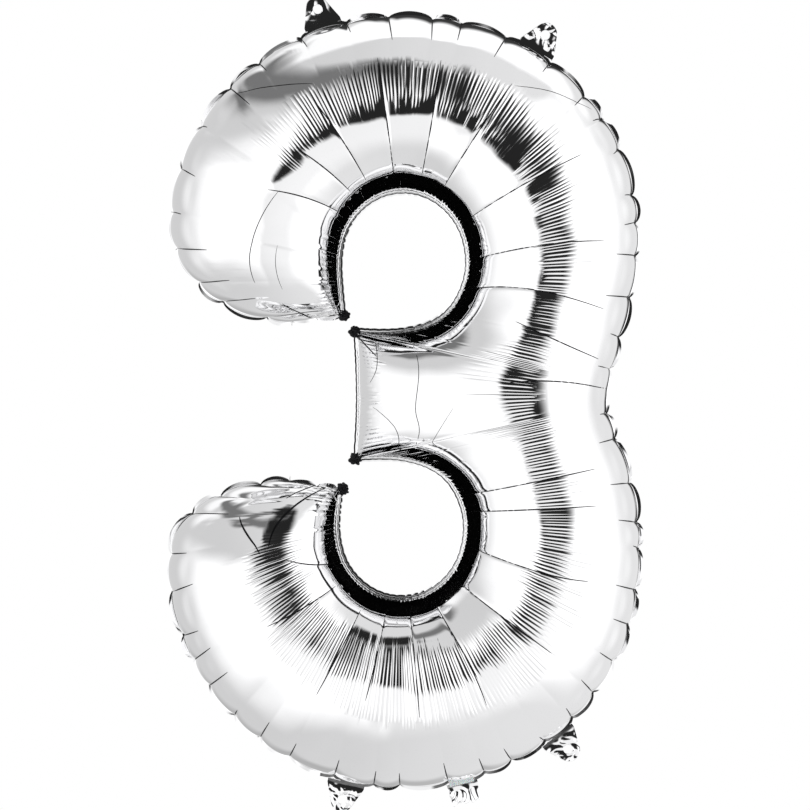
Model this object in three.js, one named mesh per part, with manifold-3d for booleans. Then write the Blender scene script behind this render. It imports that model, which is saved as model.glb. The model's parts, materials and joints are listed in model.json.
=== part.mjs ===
// Foil number balloon in the shape of the figure 3.
//
// Two sheets of metallised film lie face to face and are heat-sealed along one outline. Gas swells them
// into a round tube, while the sealed edge stays flat as a narrow flange in the middle plane, y = 0. Four
// die-cut tabs with a punched hole stand out of the flange, and a short filling neck leaves it at the foot.
// A flat self-closing valve of two thin films runs from the neck through the seam into the balloon.
//
// Millimetres, +Z up, front towards -Y. The origin is the middle of the balloon's bounding box.
// Film is drawn thicker than it is, so that each sheet is a sound solid.

import * as THREE from "three";
import { mergeVertices } from "three/addons/utils/BufferGeometryUtils.js";
import Module from "manifold-3d";

// ---- Driving dimensions ------------------------------------------------------------------------------

const HEIGHT = 864; // figure's height, flange edge to flange edge, without tabs
const WIDTH = 532; // figure's width, flange edge to flange edge
const FLANGE = 4.5; // width of the sealed edge outside the seam line
const PLUMPNESS = 0.95; // depth over width of a straight stretch of the swollen tube
const WALL = 1.0; // thickness of a panel's film
const GAP = 0.3; // clearance between pieces that lie against each other
const FOLD_GAP = 1; // from the flange to a fold line outside it, so that two folded plies clear the flange

const HOLE_WIDTH = 142; // the round hole in each bowl, seam to seam
const HOLE_HEIGHT = 155;
const UPPER_END_DROP = 60; // from the hole's centre to the end of its stroke, along the inner seam
const LOWER_END_DROP = 44;
const END_FLARE = 6; // how far the stroke's end corner leans into the hole
const PRONG_REACH = 54; // from the middle of the figure to the tip of the middle arm
const PRONG_END_DISH = 3; // how far the arm's end edge is drawn in at its middle

const TAB_BASE = 44; // hanging tab: width at the flange
const TAB_HEIGHT = 31;
const TAB_TIP_RADIUS = 12.5;
const TAB_TIP_LEAN = 20; // degrees above the tip's centre at which the flanks meet its arc
const TAB_WAIST = 1; // how far outside the tip's radius the flanks' curves are pulled
const TAB_HOLE = 10; // diameter of the punched hole
const TAB_HOLE_FROM_TIP = 14; // from the hole's centre to the tip
const PLY = 0.5; // thickness of one film in a tab or in the neck

const NECK_WIDTH = 36; // filling neck
const NECK_LENGTH = 20;
const NECK_CORNER = 6;
const VALVE_FILM = 0.4; // valve: thickness of each film
const VALVE_WIDTH = 28;
const VALVE_SEALS = 4; // width of the side welds that make a flat tube of the two films
const VALVE_LENGTH = 70; // reach of the valve into the balloon

const RIM_HOLD = 1.5 * WALL; // how far the flange's band reaches inside the seam line, to hold the dome's rim
const BOWL_RIBS = 8; // equal steps between the ribs of a bowl
const ACROSS = 10; // mesh steps from seam to seam
const BETWEEN_RIBS = 2; // mesh steps from rib to rib
const TIP_SEGMENTS = 8; // straight pieces in each arc of a tab
const CORNER_SEGMENTS = 4; // straight pieces in each rounded corner of the neck
const WELD = 1e-3; // mesh points closer than this are one

// ---- The seam outline, as ribs -----------------------------------------------------------------------
// A rib is a straight line across the stroke, from the outer seam to the inner seam. The outline is a
// smooth curve through the ribs' ends. Outer points are shares of the half width and the half height.

const HALF_WIDTH = WIDTH / 2 - FLANGE;
const HALF_HEIGHT = HEIGHT / 2 - FLANGE;
const share = (x, z) => new THREE.Vector2(x * HALF_WIDTH, z * HALF_HEIGHT);
const ellipse = (centre, rx, rz) => ({ centre, rx, rz });
const onEllipse = (e, degrees) => {
  const a = THREE.MathUtils.degToRad(degrees);
  return new THREE.Vector2(e.centre.x + e.rx * Math.cos(a), e.centre.y + e.rz * Math.sin(a));
};

const UPPER = ellipse(share(0, 0.442), 0.992 * HALF_WIDTH, 0.558 * HALF_HEIGHT);
const LOWER = ellipse(share(0, -0.411), HALF_WIDTH, 0.589 * HALF_HEIGHT);
const UPPER_HOLE = ellipse(share(-0.004, 0.362), HOLE_WIDTH / 2, HOLE_HEIGHT / 2);
const LOWER_HOLE = ellipse(share(-0.013, -0.331), HOLE_WIDTH / 2, HOLE_HEIGHT / 2);

const rib = (outer, inner) => ({ outer, inner });

// The rounded end of a bowl's stroke, from its last rib towards the bowl. side is 1 above, -1 below.
function strokeEnd(outerPoints, hole, drop, side) {
  return outerPoints.map((outer, k) => {
    const left = 1 - k / outerPoints.length;
    const x = hole.centre.x - hole.rx + END_FLARE * left ** 2;
    return rib(outer, new THREE.Vector2(x, hole.centre.y - side * drop * left));
  });
}

// Ribs round a bowl, by equal angles on its outer ellipse and its hole.
function bowl(outer, hole, from, to) {
  return Array.from({ length: BOWL_RIBS + 1 }, (_, k) => {
    const angle = from + ((to - from) * k) / BOWL_RIBS;
    return rib(onEllipse(outer, angle), onEllipse(hole, angle));
  });
}

// The waist fans out into the middle arm, whose corners are the only corners of the inner seam.
const prongTip = (hole, angle) => new THREE.Vector2(-PRONG_REACH, onEllipse(hole, angle).y);
const armTop = prongTip(UPPER_HOLE, -90);
const armFoot = prongTip(LOWER_HOLE, 90);
const armMiddle = armTop.clone().lerp(armFoot, 0.5).add(new THREE.Vector2(PRONG_END_DISH, 0));
const arm = [
  rib(share(0.962, 0.261), onEllipse(UPPER_HOLE, -20)),
  rib(share(0.903, 0.132), onEllipse(UPPER_HOLE, -50)),
  rib(share(0.869, 0.054), onEllipse(UPPER_HOLE, -90)),
  rib(share(0.86, 0.026), armTop),
  rib(share(0.86, 0.013), armMiddle),
  rib(share(0.86, 0), armFoot),
  rib(share(0.869, -0.028), onEllipse(LOWER_HOLE, 90)),
  rib(share(0.903, -0.096), onEllipse(LOWER_HOLE, 50)),
  rib(share(0.97, -0.217), onEllipse(LOWER_HOLE, 20)),
];
const upperEnd = [share(-0.475, 0.199), share(-0.712, 0.233), share(-0.9, 0.318)];
const lowerEnd = [share(-0.483, -0.199), share(-0.729, -0.227), share(-0.925, -0.3)];

const RIBS = [
  ...strokeEnd(upperEnd, UPPER_HOLE, UPPER_END_DROP, 1),
  ...bowl(UPPER, UPPER_HOLE, 180, 0),
  ...arm,
  ...bowl(LOWER, LOWER_HOLE, 0, -180),
  ...strokeEnd(lowerEnd, LOWER_HOLE, LOWER_END_DROP, -1).reverse(),
];
const CORNERS = [0, RIBS.findIndex((r) => r.inner === armTop), RIBS.findIndex((r) => r.inner === armFoot)];
CORNERS.push(RIBS.length - 1);

// Rib numbers, with fractions, at which the mesh has a station. They crowd together at both ends, where
// the film rises steeply from the end seam.
const END_STEPS = [0.2, 0.42, 0.7];
const last = RIBS.length - 1;
const STATIONS = [0, ...END_STEPS];
for (let k = BETWEEN_RIBS; k <= (last - 1) * BETWEEN_RIBS; k++) STATIONS.push(k / BETWEEN_RIBS);
STATIONS.push(...END_STEPS.map((s) => last - s).reverse(), last);

// A smooth curve through flat points, taken at a share of the way from the first to the last.
function smooth(points, along) {
  const curve = new THREE.CatmullRomCurve3(points.map((p) => new THREE.Vector3(p.x, p.y, 0)));
  const at = curve.getPoint(along);
  return new THREE.Vector2(at.x, at.y);
}
const OUTER_POINTS = RIBS.map((r) => r.outer);
const outerAt = (k) => smooth(OUTER_POINTS, k / last);

// The inner seam is a separate smooth curve between each two corners.
function innerAt(k) {
  const s = Math.max(1, CORNERS.findIndex((c) => k <= c));
  const [from, to] = [CORNERS[s - 1], CORNERS[s]];
  const between = RIBS.slice(from, to + 1).map((r) => r.inner);
  return smooth(between, (k - from) / (to - from));
}

// ---- The swollen surface -----------------------------------------------------------------------------

const ROW = ACROSS + 1;
const COUNT = STATIONS.length * ROW;
const index = (i, j) => i * ROW + j;

// Points of the flat grid: cosine steps across, so that the steep edges get as many as the crown.
function flatGrid() {
  const points = [];
  for (const k of STATIONS) {
    const [a, b] = [outerAt(k), innerAt(k)];
    for (let j = 0; j < ROW; j++) points.push(a.clone().lerp(b, (1 - Math.cos((Math.PI * j) / ACROSS)) / 2));
  }
  return points;
}

// Two triangles for each cell of the grid, wound so that they face -Y. The cut runs from b to d where the
// other one would leave a triangle lying flat in a corner of the seam.
function gridTriangles() {
  const triangles = [];
  const lastCell = STATIONS.length - 2;
  for (let i = 0; i <= lastCell; i++)
    for (let j = 0; j < ACROSS; j++) {
      const [a, b, c, d] = [index(i, j), index(i + 1, j), index(i + 1, j + 1), index(i, j + 1)];
      const otherCut = (i === 0 && j === ACROSS - 1) || (i === lastCell && j === 0);
      if (otherCut) triangles.push([a, d, b], [b, d, c]);
      else triangles.push([a, c, b], [a, d, c]);
    }
  return triangles;
}

// Boundary vertices in order: outer seam, last end, inner seam, first end.
function boundaryLoop() {
  const loop = [];
  const lastStation = STATIONS.length - 1;
  for (let i = 0; i < lastStation; i++) loop.push(index(i, 0));
  for (let j = 0; j < ACROSS; j++) loop.push(index(lastStation, j));
  for (let i = lastStation; i > 0; i--) loop.push(index(i, ACROSS));
  for (let j = ACROSS; j > 0; j--) loop.push(index(0, j));
  return loop;
}

const FLAT = flatGrid();
const TRIANGLES = gridTriangles();
const LOOP = boundaryLoop();

// Swelling height. A soap film over the outline, loaded evenly, obeys Poisson's equation; the square root of
// its height turns a straight strip into a half circle, and rounds off ends and forks as gas pressure does.
function swellHeights() {
  const neighbours = Array.from({ length: COUNT }, () => new Map());
  const load = new Float64Array(COUNT);
  for (const t of TRIANGLES)
    for (let c = 0; c < 3; c++) {
      const [i, j, k] = [t[c], t[(c + 1) % 3], t[(c + 2) % 3]];
      const u = FLAT[i].clone().sub(FLAT[k]);
      const v = FLAT[j].clone().sub(FLAT[k]);
      const twiceArea = Math.abs(u.cross(v));
      const weight = u.dot(v) / twiceArea / 2;
      neighbours[i].set(j, (neighbours[i].get(j) ?? 0) + weight);
      neighbours[j].set(i, (neighbours[j].get(i) ?? 0) + weight);
      load[i] += twiceArea / 3;
    }
  const fixed = new Set(LOOP);
  const film = new Float64Array(COUNT);
  const sweeps = 1500;
  for (let sweep = 0; sweep < sweeps; sweep++)
    for (let i = 0; i < COUNT; i++) {
      if (fixed.has(i)) continue;
      let [sum, total] = [load[i], 0];
      for (const [j, w] of neighbours[i]) {
        sum += w * film[j];
        total += w;
      }
      film[i] = sum / total;
    }
  return Array.from(film, (f) => PLUMPNESS * Math.sqrt(Math.max(f, 0)));
}

// Outward directions in the seam's plane, at each vertex of the boundary loop.
function loopNormals() {
  const n = LOOP.length;
  return LOOP.map((v, k) => {
    const before = FLAT[v].clone().sub(FLAT[LOOP[(k + n - 1) % n]]).normalize();
    const after = FLAT[LOOP[(k + 1) % n]].clone().sub(FLAT[v]).normalize();
    const along = before.add(after).normalize();
    return new THREE.Vector2(-along.y, along.x);
  });
}

const HEIGHTS = swellHeights();
const NORMALS = loopNormals();

// The inside of the film: the same grid drawn in by one wall along the seam, and swollen one wall less at
// the crown.
function insideOf(outside) {
  const drawnIn = new Map(LOOP.map((v, k) => [v, NORMALS[k].clone().multiplyScalar(-WALL)]));
  const less = WALL / Math.max(...HEIGHTS);
  return outside.map((p, v) => {
    const row = v % ROW;
    const [a, b] = [drawnIn.get(v - row), drawnIn.get(v - row + ACROSS)];
    const shift = drawnIn.get(v) ?? a.clone().lerp(b, row / ACROSS);
    return new THREE.Vector3(p.x + shift.x, p.y + less * HEIGHTS[v], p.z + shift.y);
  });
}

// ---- Solids ------------------------------------------------------------------------------------------

const wasm = await Module();
wasm.setup();

function toSolid(geometry) {
  const bare = new THREE.BufferGeometry().setAttribute("position", geometry.getAttribute("position"));
  if (geometry.index) bare.setIndex(geometry.index);
  const merged = mergeVertices(bare, WELD);
  const triVerts = new Uint32Array(merged.index.array);
  const vertProperties = new Float32Array(merged.attributes.position.array);
  return new wasm.Manifold(new wasm.Mesh({ numProp: 3, vertProperties, triVerts }));
}

function toGeometry(solid) {
  const mesh = solid.getMesh();
  const geometry = new THREE.BufferGeometry();
  geometry.setAttribute("position", new THREE.BufferAttribute(new Float32Array(mesh.vertProperties), 3));
  geometry.setIndex(new THREE.BufferAttribute(new Uint32Array(mesh.triVerts), 1));
  geometry.computeVertexNormals();
  return geometry;
}

// The domed part of the front panel: the swollen surface, the same surface one wall further in, and the
// rim that joins them along the seam, half-way up in the flange's thickness.
function dome() {
  const rise = GAP / 2 + WALL / 2;
  const outside = FLAT.map((p, v) => new THREE.Vector3(p.x, -rise - HEIGHTS[v], p.y));
  const inside = insideOf(outside);
  const faces = [];
  for (const [a, b, c] of TRIANGLES) faces.push(a, b, c, COUNT + a, COUNT + c, COUNT + b);
  LOOP.forEach((a, k) => {
    const b = LOOP[(k + 1) % LOOP.length];
    faces.push(a, b, COUNT + b, a, COUNT + b, COUNT + a);
  });
  const geometry = new THREE.BufferGeometry().setFromPoints([...outside, ...inside]);
  return geometry.setIndex(faces);
}

// A flat band along the seam, from the flange's edge to just inside the dome's wall, so that it holds the rim.
function flange() {
  const loopAt = (offset) => LOOP.map((v, k) => FLAT[v].clone().addScaledVector(NORMALS[k], offset));
  const band = new THREE.Shape(loopAt(FLANGE).reverse()); // anticlockwise, as a shape with a hole has to be
  band.holes.push(new THREE.Path(loopAt(-RIM_HOLD)));
  const geometry = new THREE.ExtrudeGeometry(band, { depth: WALL, bevelEnabled: false });
  return geometry.rotateX(Math.PI / 2).translate(0, -GAP / 2, 0);
}

// ---- Tabs, neck and valve ----------------------------------------------------------------------------

// A group standing on the flange's edge: local X runs along the edge and local Z points away from the balloon.
function onEdge(bowlEllipse, degrees) {
  const a = THREE.MathUtils.degToRad(degrees);
  const seam = onEllipse(bowlEllipse, degrees);
  const out = new THREE.Vector2(Math.cos(a) / bowlEllipse.rx, Math.sin(a) / bowlEllipse.rz).normalize();
  const root = seam.addScaledVector(out, FLANGE + FOLD_GAP);
  const group = new THREE.Group();
  group.position.set(root.x, 0, root.y);
  group.rotation.y = Math.atan2(out.x, out.y);
  return group;
}

// One ply of a hanging tab: a wide foot, hollow flanks and a round tip with a punched hole.
function tabPly() {
  const shape = new THREE.Shape();
  const centre = TAB_HEIGHT - TAB_TIP_RADIUS;
  const lean = THREE.MathUtils.degToRad(TAB_TIP_LEAN);
  const pull = TAB_TIP_RADIUS + TAB_WAIST;
  const [touchX, touchZ] = [TAB_TIP_RADIUS * Math.cos(lean), centre + TAB_TIP_RADIUS * Math.sin(lean)];
  shape.moveTo(-TAB_BASE / 2, 0);
  shape.lineTo(TAB_BASE / 2, 0);
  shape.quadraticCurveTo(pull, centre / 2, touchX, touchZ);
  shape.absarc(0, centre, TAB_TIP_RADIUS, lean, Math.PI - lean, false);
  shape.quadraticCurveTo(-pull, centre / 2, -TAB_BASE / 2, 0);
  const hole = new THREE.Path();
  hole.absarc(0, TAB_HEIGHT - TAB_HOLE_FROM_TIP, TAB_HOLE / 2, 0, 2 * Math.PI, true);
  shape.holes.push(hole);
  return new THREE.ExtrudeGeometry(shape, { depth: PLY, bevelEnabled: false, curveSegments: TIP_SEGMENTS });
}

// One ply of the filling neck: a strip with rounded free corners.
function neckPly() {
  const shape = new THREE.Shape();
  const half = NECK_WIDTH / 2;
  shape.moveTo(-half, 0);
  shape.lineTo(half, 0);
  shape.lineTo(half, NECK_LENGTH - NECK_CORNER);
  shape.absarc(half - NECK_CORNER, NECK_LENGTH - NECK_CORNER, NECK_CORNER, 0, Math.PI / 2, false);
  shape.absarc(NECK_CORNER - half, NECK_LENGTH - NECK_CORNER, NECK_CORNER, Math.PI / 2, Math.PI, false);
  return new THREE.ExtrudeGeometry(shape, { depth: PLY, bevelEnabled: false, curveSegments: CORNER_SEGMENTS });
}

// Stands a ply drawn in X and Y up in the X-Z plane, its near face at distance from the middle plane.
// side is -1 for the front ply and 1 for the back ply.
function standUp(geometry, side, distance) {
  return geometry.rotateX(Math.PI / 2).translate(0, side < 0 ? -distance : distance + PLY, 0);
}

const THROAT_LENGTH = FLANGE + 2 * WALL; // from the flange's edge to just past the dome's rim
const FLAP_ROOT = -FOLD_GAP - THROAT_LENGTH - GAP; // the flaps' fold line, in the neck's own height

const SIDES = [
  ["front", -1],
  ["back", 1],
];
const POCKET = GAP / 2 + VALVE_FILM + GAP; // from the middle plane to what lies outside the valve
const box = (width, depth, height) => new THREE.BoxGeometry(width, depth, height);
const movedTo = (geometry, group) => {
  group.updateMatrix();
  return geometry.clone().applyMatrix4(group.matrix);
};

// The flat tube of the two valve films where the seam grips it: a slab with a slit right through.
function valveThroat() {
  const middle = -FOLD_GAP - THROAT_LENGTH / 2;
  const slab = toSolid(box(VALVE_WIDTH, GAP + 2 * VALVE_FILM, THROAT_LENGTH).translate(0, 0, middle));
  const slit = toSolid(box(VALVE_WIDTH - 2 * VALVE_SEALS, GAP, 2 * THROAT_LENGTH).translate(0, 0, middle));
  return toGeometry(slab.subtract(slit));
}

// ---- Materials ---------------------------------------------------------------------------------------

const foil = new THREE.MeshStandardMaterial({ color: 0xd9dadc, roughness: 0.08, metalness: 1 });
const valveFilm = new THREE.MeshStandardMaterial({ color: 0xe9ecec, roughness: 0.35, metalness: 0 });

// ---- Assembly ----------------------------------------------------------------------------------------

const balloon = new THREE.Group();
const addMesh = (parent, name, geometry, material) => {
  const mesh = new THREE.Mesh(geometry, material);
  mesh.name = name;
  parent.add(mesh);
  return mesh;
};

const TABS = {
  hang_tab_top_left: onEdge(UPPER, 110),
  hang_tab_top_right: onEdge(UPPER, 56),
  hang_tab_bottom_left: onEdge(LOWER, -104),
  hang_tab_bottom_right: onEdge(LOWER, -50),
};
const neck = onEdge(LOWER, -76);

// The panels. The valve leaves a shallow pocket in the flange of each.
const pocket = box(VALVE_WIDTH + 2 * GAP, 2 * POCKET, 3 * FLANGE).translate(0, 0, -FLANGE);
const panel = toGeometry(toSolid(dome()).add(toSolid(flange())).subtract(toSolid(movedTo(pocket, neck))));
for (const [side, sign] of SIDES) addMesh(balloon, side + "_panel", panel, foil).scale.y = -sign;

for (const [name, group] of Object.entries(TABS)) {
  group.name = name;
  for (const [side, sign] of SIDES)
    addMesh(group, name + "_" + side, standUp(tabPly(), sign, GAP / 2), foil);
  balloon.add(group);
}

neck.name = "filling_neck";
for (const [side, sign] of SIDES)
  addMesh(neck, "filling_neck_" + side, standUp(neckPly(), sign, GAP / 2), foil);

addMesh(neck, "valve_throat", valveThroat(), valveFilm);
for (const [side, sign] of SIDES) {
  const flap = box(VALVE_WIDTH, VALVE_FILM, VALVE_LENGTH);
  flap.translate(0, (sign * (GAP + VALVE_FILM)) / 2, FLAP_ROOT - VALVE_LENGTH / 2);
  addMesh(neck, "valve_flap_" + side, flap, valveFilm);
}
balloon.add(neck);

const middle = new THREE.Box3().setFromObject(balloon, true).getCenter(new THREE.Vector3());
balloon.position.copy(middle).negate();

export default balloon;
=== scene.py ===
"""Foil number balloon, figure 3, in silver: the finished look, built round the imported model's frame.

Two sheets of metallised film are sealed along one outline and swollen by gas. Each sheet is one surface over
a grid of ribs that run across the stroke, from the outer seam to the inner seam. Its height comes from a
soap-film equation, and its creases, puckers and pleats are moves along its own normals.

Lengths are millimetres inside the classes and metres in the meshes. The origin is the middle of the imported
model's box, +Z is up, and the front faces -Y.
"""

import json
import logging
import math
from dataclasses import dataclass, field
from enum import Enum
from typing import Any

import bmesh
import bpy
import numpy as np
from numpy.typing import NDArray
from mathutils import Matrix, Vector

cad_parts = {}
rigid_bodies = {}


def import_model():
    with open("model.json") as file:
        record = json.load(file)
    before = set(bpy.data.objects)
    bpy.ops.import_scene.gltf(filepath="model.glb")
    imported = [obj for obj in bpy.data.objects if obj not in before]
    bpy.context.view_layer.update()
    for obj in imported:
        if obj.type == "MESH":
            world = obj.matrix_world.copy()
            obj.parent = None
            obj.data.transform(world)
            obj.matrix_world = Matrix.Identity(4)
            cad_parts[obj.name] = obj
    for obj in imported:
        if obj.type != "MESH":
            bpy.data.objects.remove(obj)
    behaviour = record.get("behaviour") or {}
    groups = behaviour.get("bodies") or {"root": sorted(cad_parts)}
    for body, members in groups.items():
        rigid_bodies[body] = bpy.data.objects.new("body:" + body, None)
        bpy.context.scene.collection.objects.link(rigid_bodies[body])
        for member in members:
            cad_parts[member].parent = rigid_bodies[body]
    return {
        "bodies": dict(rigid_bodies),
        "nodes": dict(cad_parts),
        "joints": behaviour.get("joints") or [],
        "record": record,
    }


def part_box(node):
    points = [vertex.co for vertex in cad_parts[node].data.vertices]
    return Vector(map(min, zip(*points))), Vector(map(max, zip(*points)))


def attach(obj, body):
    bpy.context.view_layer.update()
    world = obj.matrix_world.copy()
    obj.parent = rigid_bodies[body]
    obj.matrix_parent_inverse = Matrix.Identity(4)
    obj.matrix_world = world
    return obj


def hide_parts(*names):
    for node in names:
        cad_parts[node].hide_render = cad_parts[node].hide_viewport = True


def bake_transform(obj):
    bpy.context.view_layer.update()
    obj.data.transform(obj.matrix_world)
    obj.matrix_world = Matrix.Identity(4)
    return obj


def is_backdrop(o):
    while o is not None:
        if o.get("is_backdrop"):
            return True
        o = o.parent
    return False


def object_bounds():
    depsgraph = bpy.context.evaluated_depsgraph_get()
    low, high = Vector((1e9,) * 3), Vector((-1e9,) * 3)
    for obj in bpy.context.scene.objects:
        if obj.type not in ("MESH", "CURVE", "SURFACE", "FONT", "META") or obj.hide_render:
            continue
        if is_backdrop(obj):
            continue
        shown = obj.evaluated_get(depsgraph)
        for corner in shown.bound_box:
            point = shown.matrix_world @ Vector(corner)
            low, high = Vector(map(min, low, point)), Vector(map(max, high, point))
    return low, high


Array = NDArray[np.float64]
Point = tuple[float, float]
Point3 = tuple[float, float, float]
log = logging.getLogger("balloon")

MM = 0.001
ROOT = "root"
PLEAT_FAMILIES = ("pleat", "gather")  # across the crown of the bowls, and along the inner seam
RIPPLE_SPREAD = (0.7, 1.5)  # the shortest and the longest of a ripple's waves, as shares of the mean


class Side(Enum):
    """Which sheet of the balloon: the value is the sign of its swelling along Y."""

    FRONT = -1
    BACK = 1


class Slot(Enum):
    """A material slot named in the record. Nothing in the script uses it."""

    FOIL = "foil"


# ---- Small tools for meshes ----------------------------------------------------------------------


def grid_faces(rows: int, columns: int, closed: bool = False, looped: bool = False) -> NDArray[np.int64]:
    """Quads of a grid whose vertices are numbered row by row.

    Args:
        rows: number of rows of vertices.
        columns: number of vertices in a row.
        closed: whether the last column joins the first.
        looped: whether the last row joins the first.

    Returns:
        One row of four vertex numbers for each quad.
    """
    row = np.arange(rows if looped else rows - 1)[:, None]
    column = np.arange(columns if closed else columns - 1)[None, :]
    next_row, next_column = (row + 1) % rows, (column + 1) % columns
    corners = [(row, column), (row, next_column), (next_row, next_column), (next_row, column)]
    return np.stack([r * columns + c for r, c in corners], axis=-1).reshape(-1, 4)


def new_piece(
    name: str, points_mm: Array, faces: NDArray[np.int64], material: bpy.types.Material
) -> bpy.types.Object:
    """Makes a smooth mesh object at the origin from points in millimetres.

    Args:
        name: the piece's name.
        points_mm: one row of X, Y and Z for each vertex.
        faces: vertex numbers, one row for each quad.
        material: the piece's only material.

    Returns:
        The new object, linked to the scene.
    """
    mesh = bpy.data.meshes.new(name)
    mesh.vertices.add(len(points_mm))
    mesh.vertices.foreach_set("co", (points_mm * MM).astype(np.float32).ravel())
    corners = faces.shape[1]
    mesh.loops.add(faces.size)
    mesh.loops.foreach_set("vertex_index", faces.astype(np.int32).ravel())
    mesh.polygons.add(len(faces))
    mesh.polygons.foreach_set("loop_start", np.arange(0, faces.size, corners, dtype=np.int32))
    mesh.polygons.foreach_set("use_smooth", np.ones(len(faces), dtype=bool))
    mesh.update(calc_edges=True)
    mesh.validate()
    mesh.materials.append(material)
    piece = bpy.data.objects.new(name, mesh)
    bpy.context.scene.collection.objects.link(piece)
    return piece


def weld(piece: bpy.types.Object, reach_mm: float = 0.001) -> None:
    """Merges the vertices that lie on each other, such as those of a ball's poles."""
    shape = bmesh.new()
    shape.from_mesh(piece.data)
    bmesh.ops.remove_doubles(shape, verts=shape.verts[:], dist=reach_mm * MM)
    shape.to_mesh(piece.data)
    shape.free()


def add_attribute(piece: bpy.types.Object, name: str, values: Array) -> None:
    """Stores a number for each vertex, for the material to read."""
    attribute = piece.data.attributes.new(name, "FLOAT", "POINT")
    attribute.data.foreach_set("value", values.astype(np.float32))


def smoothstep(x: Array) -> Array:
    """0 below 0, 1 above 1, and 3x^2 - 2x^3 between."""
    t = np.clip(x, 0.0, 1.0)
    return t * t * (3.0 - 2.0 * t)


def smooth_window(value: Array, marks: tuple[float, float, float, float]) -> Array:
    """0 outside the first and last marks, 1 between the middle two, smooth between."""
    begin, full, thin, end = marks
    return smoothstep((value - begin) / (full - begin)) * smoothstep((end - value) / (end - thin))


def unit(vectors: Array) -> Array:
    """Vectors along the last axis, brought to length 1."""
    return vectors / np.maximum(np.linalg.norm(vectors, axis=-1, keepdims=True), 1e-12)


def smooth_curve(points: Array, at: Array) -> Array:
    """The natural cubic spline through points, with knots spaced by the root of the chord.

    Args:
        points: the points that the curve passes through, one row each.
        at: where to take it, in point numbers with fractions.

    Returns:
        One row for each value in at.
    """
    last = len(points) - 1
    gaps = np.sqrt(np.linalg.norm(np.diff(points, axis=0), axis=1))
    matrix, right = np.eye(last + 1), np.zeros_like(points)
    i = np.arange(1, last)
    matrix[i, i - 1], matrix[i, i], matrix[i, i + 1] = gaps[:-1], 2 * (gaps[:-1] + gaps[1:]), gaps[1:]
    right[1:-1] = 6 * np.diff(np.diff(points, axis=0) / gaps[:, None], axis=0)
    bend = np.linalg.solve(matrix, right)
    k = np.clip(np.floor(at).astype(int), 0, last - 1)
    f = (at - k)[:, None]
    cubic = ((1 - f) ** 3 - (1 - f)) * bend[k] + (f**3 - f) * bend[k + 1]
    return (1 - f) * points[k] + f * points[k + 1] + cubic * gaps[k][:, None] ** 2 / 6


def resample_rows(table: Array, at: Array) -> Array:
    """Rows of a table at fractional row numbers, by the Catmull-Rom cubic through the four nearest rows."""
    last = len(table) - 1
    k = np.clip(np.floor(at).astype(int), 0, last - 1)
    f = (at - k)[:, None]
    before, after = table[np.maximum(k - 1, 0)], table[np.minimum(k + 2, last)]
    a, b = table[k], table[k + 1]
    bend = 2 * before - 5 * a + 4 * b - after
    twist = 3 * (a - b) + after - before
    return a + f * ((b - before) + f * (bend + f * twist)) / 2


def arc_lengths(points: Array, axis: int = 0) -> Array:
    """Distance walked along an axis of a grid of points, 0 at its first."""
    steps = np.linalg.norm(np.diff(points, axis=axis), axis=-1)
    walked = np.cumsum(steps, axis=axis)
    return np.concatenate([np.zeros_like(np.take(walked, [0], axis=axis)), walked], axis=axis)


def sample_grid(grid: Array, rows: Array, columns: Array) -> Array:
    """Values of a grid at fractional row and column numbers, between the four nearest."""
    i = np.clip(np.floor(rows).astype(int), 0, grid.shape[0] - 2)
    j = np.clip(np.floor(columns).astype(int), 0, grid.shape[1] - 2)
    f, g = (rows - i)[:, None], (columns - j)[:, None]
    near = grid[i, j] * (1 - g) + grid[i, j + 1] * g
    far = grid[i + 1, j] * (1 - g) + grid[i + 1, j + 1] * g
    return near * (1 - f) + far * f


def ripple(x: Array, z: Array, wavelength: float, rng: np.random.Generator, waves: int = 9) -> Array:
    """A smooth random surface of about unit height: a sum of sine waves in random directions.

    Args:
        x, z: where to take it.
        wavelength: the mean length of a wave, in the same units.
        rng: source of the random directions, lengths and phases.
        waves: how many sine waves are added.

    Returns:
        The height at each place.
    """
    turns, phases = rng.uniform(0, 2 * np.pi, (2, waves))
    pace = 2 * np.pi / (wavelength * rng.uniform(*RIPPLE_SPREAD, waves))
    total = np.zeros_like(x)
    for turn, phase, p in zip(turns, phases, pace):
        total += np.sin(p * (x * math.cos(turn) + z * math.sin(turn)) + phase)
    return total * math.sqrt(2 / waves)


# ---- Materials -----------------------------------------------------------------------------------


def linear(colour: str) -> tuple[float, float, float, float]:
    """An sRGB colour such as "#C0FFEE" as linear red, green, blue and an alpha of 1."""
    parts = [int(colour[i : i + 2], 16) / 255 for i in (1, 3, 5)]
    r, g, b = (c / 12.92 if c <= 0.04045 else ((c + 0.055) / 1.055) ** 2.4 for c in parts)
    return (r, g, b, 1.0)


def add_node(
    tree: bpy.types.NodeTree,
    kind: str,
    settings: dict[str, Any] | None = None,
    inputs: dict[str | int, Any] | None = None,
) -> bpy.types.Node:
    """Adds a node to a tree.

    Args:
        tree: the node tree.
        kind: the node's type name.
        settings: attributes of the node and their values.
        inputs: input names or numbers, each with a value or with the socket that feeds it.

    Returns:
        The new node.
    """
    node = tree.nodes.new(kind)
    for name, value in (settings or {}).items():
        setattr(node, name, value)
    for name, value in (inputs or {}).items():
        if isinstance(value, bpy.types.NodeSocket):
            tree.links.new(value, node.inputs[name])
        else:
            node.inputs[name].default_value = value
    return node


def new_material(name: str) -> tuple[bpy.types.Material, bpy.types.NodeTree]:
    """An empty node material and its tree."""
    material = bpy.data.materials.new(name)
    material.use_nodes = True
    material.node_tree.nodes.clear()
    return material, material.node_tree


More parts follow.
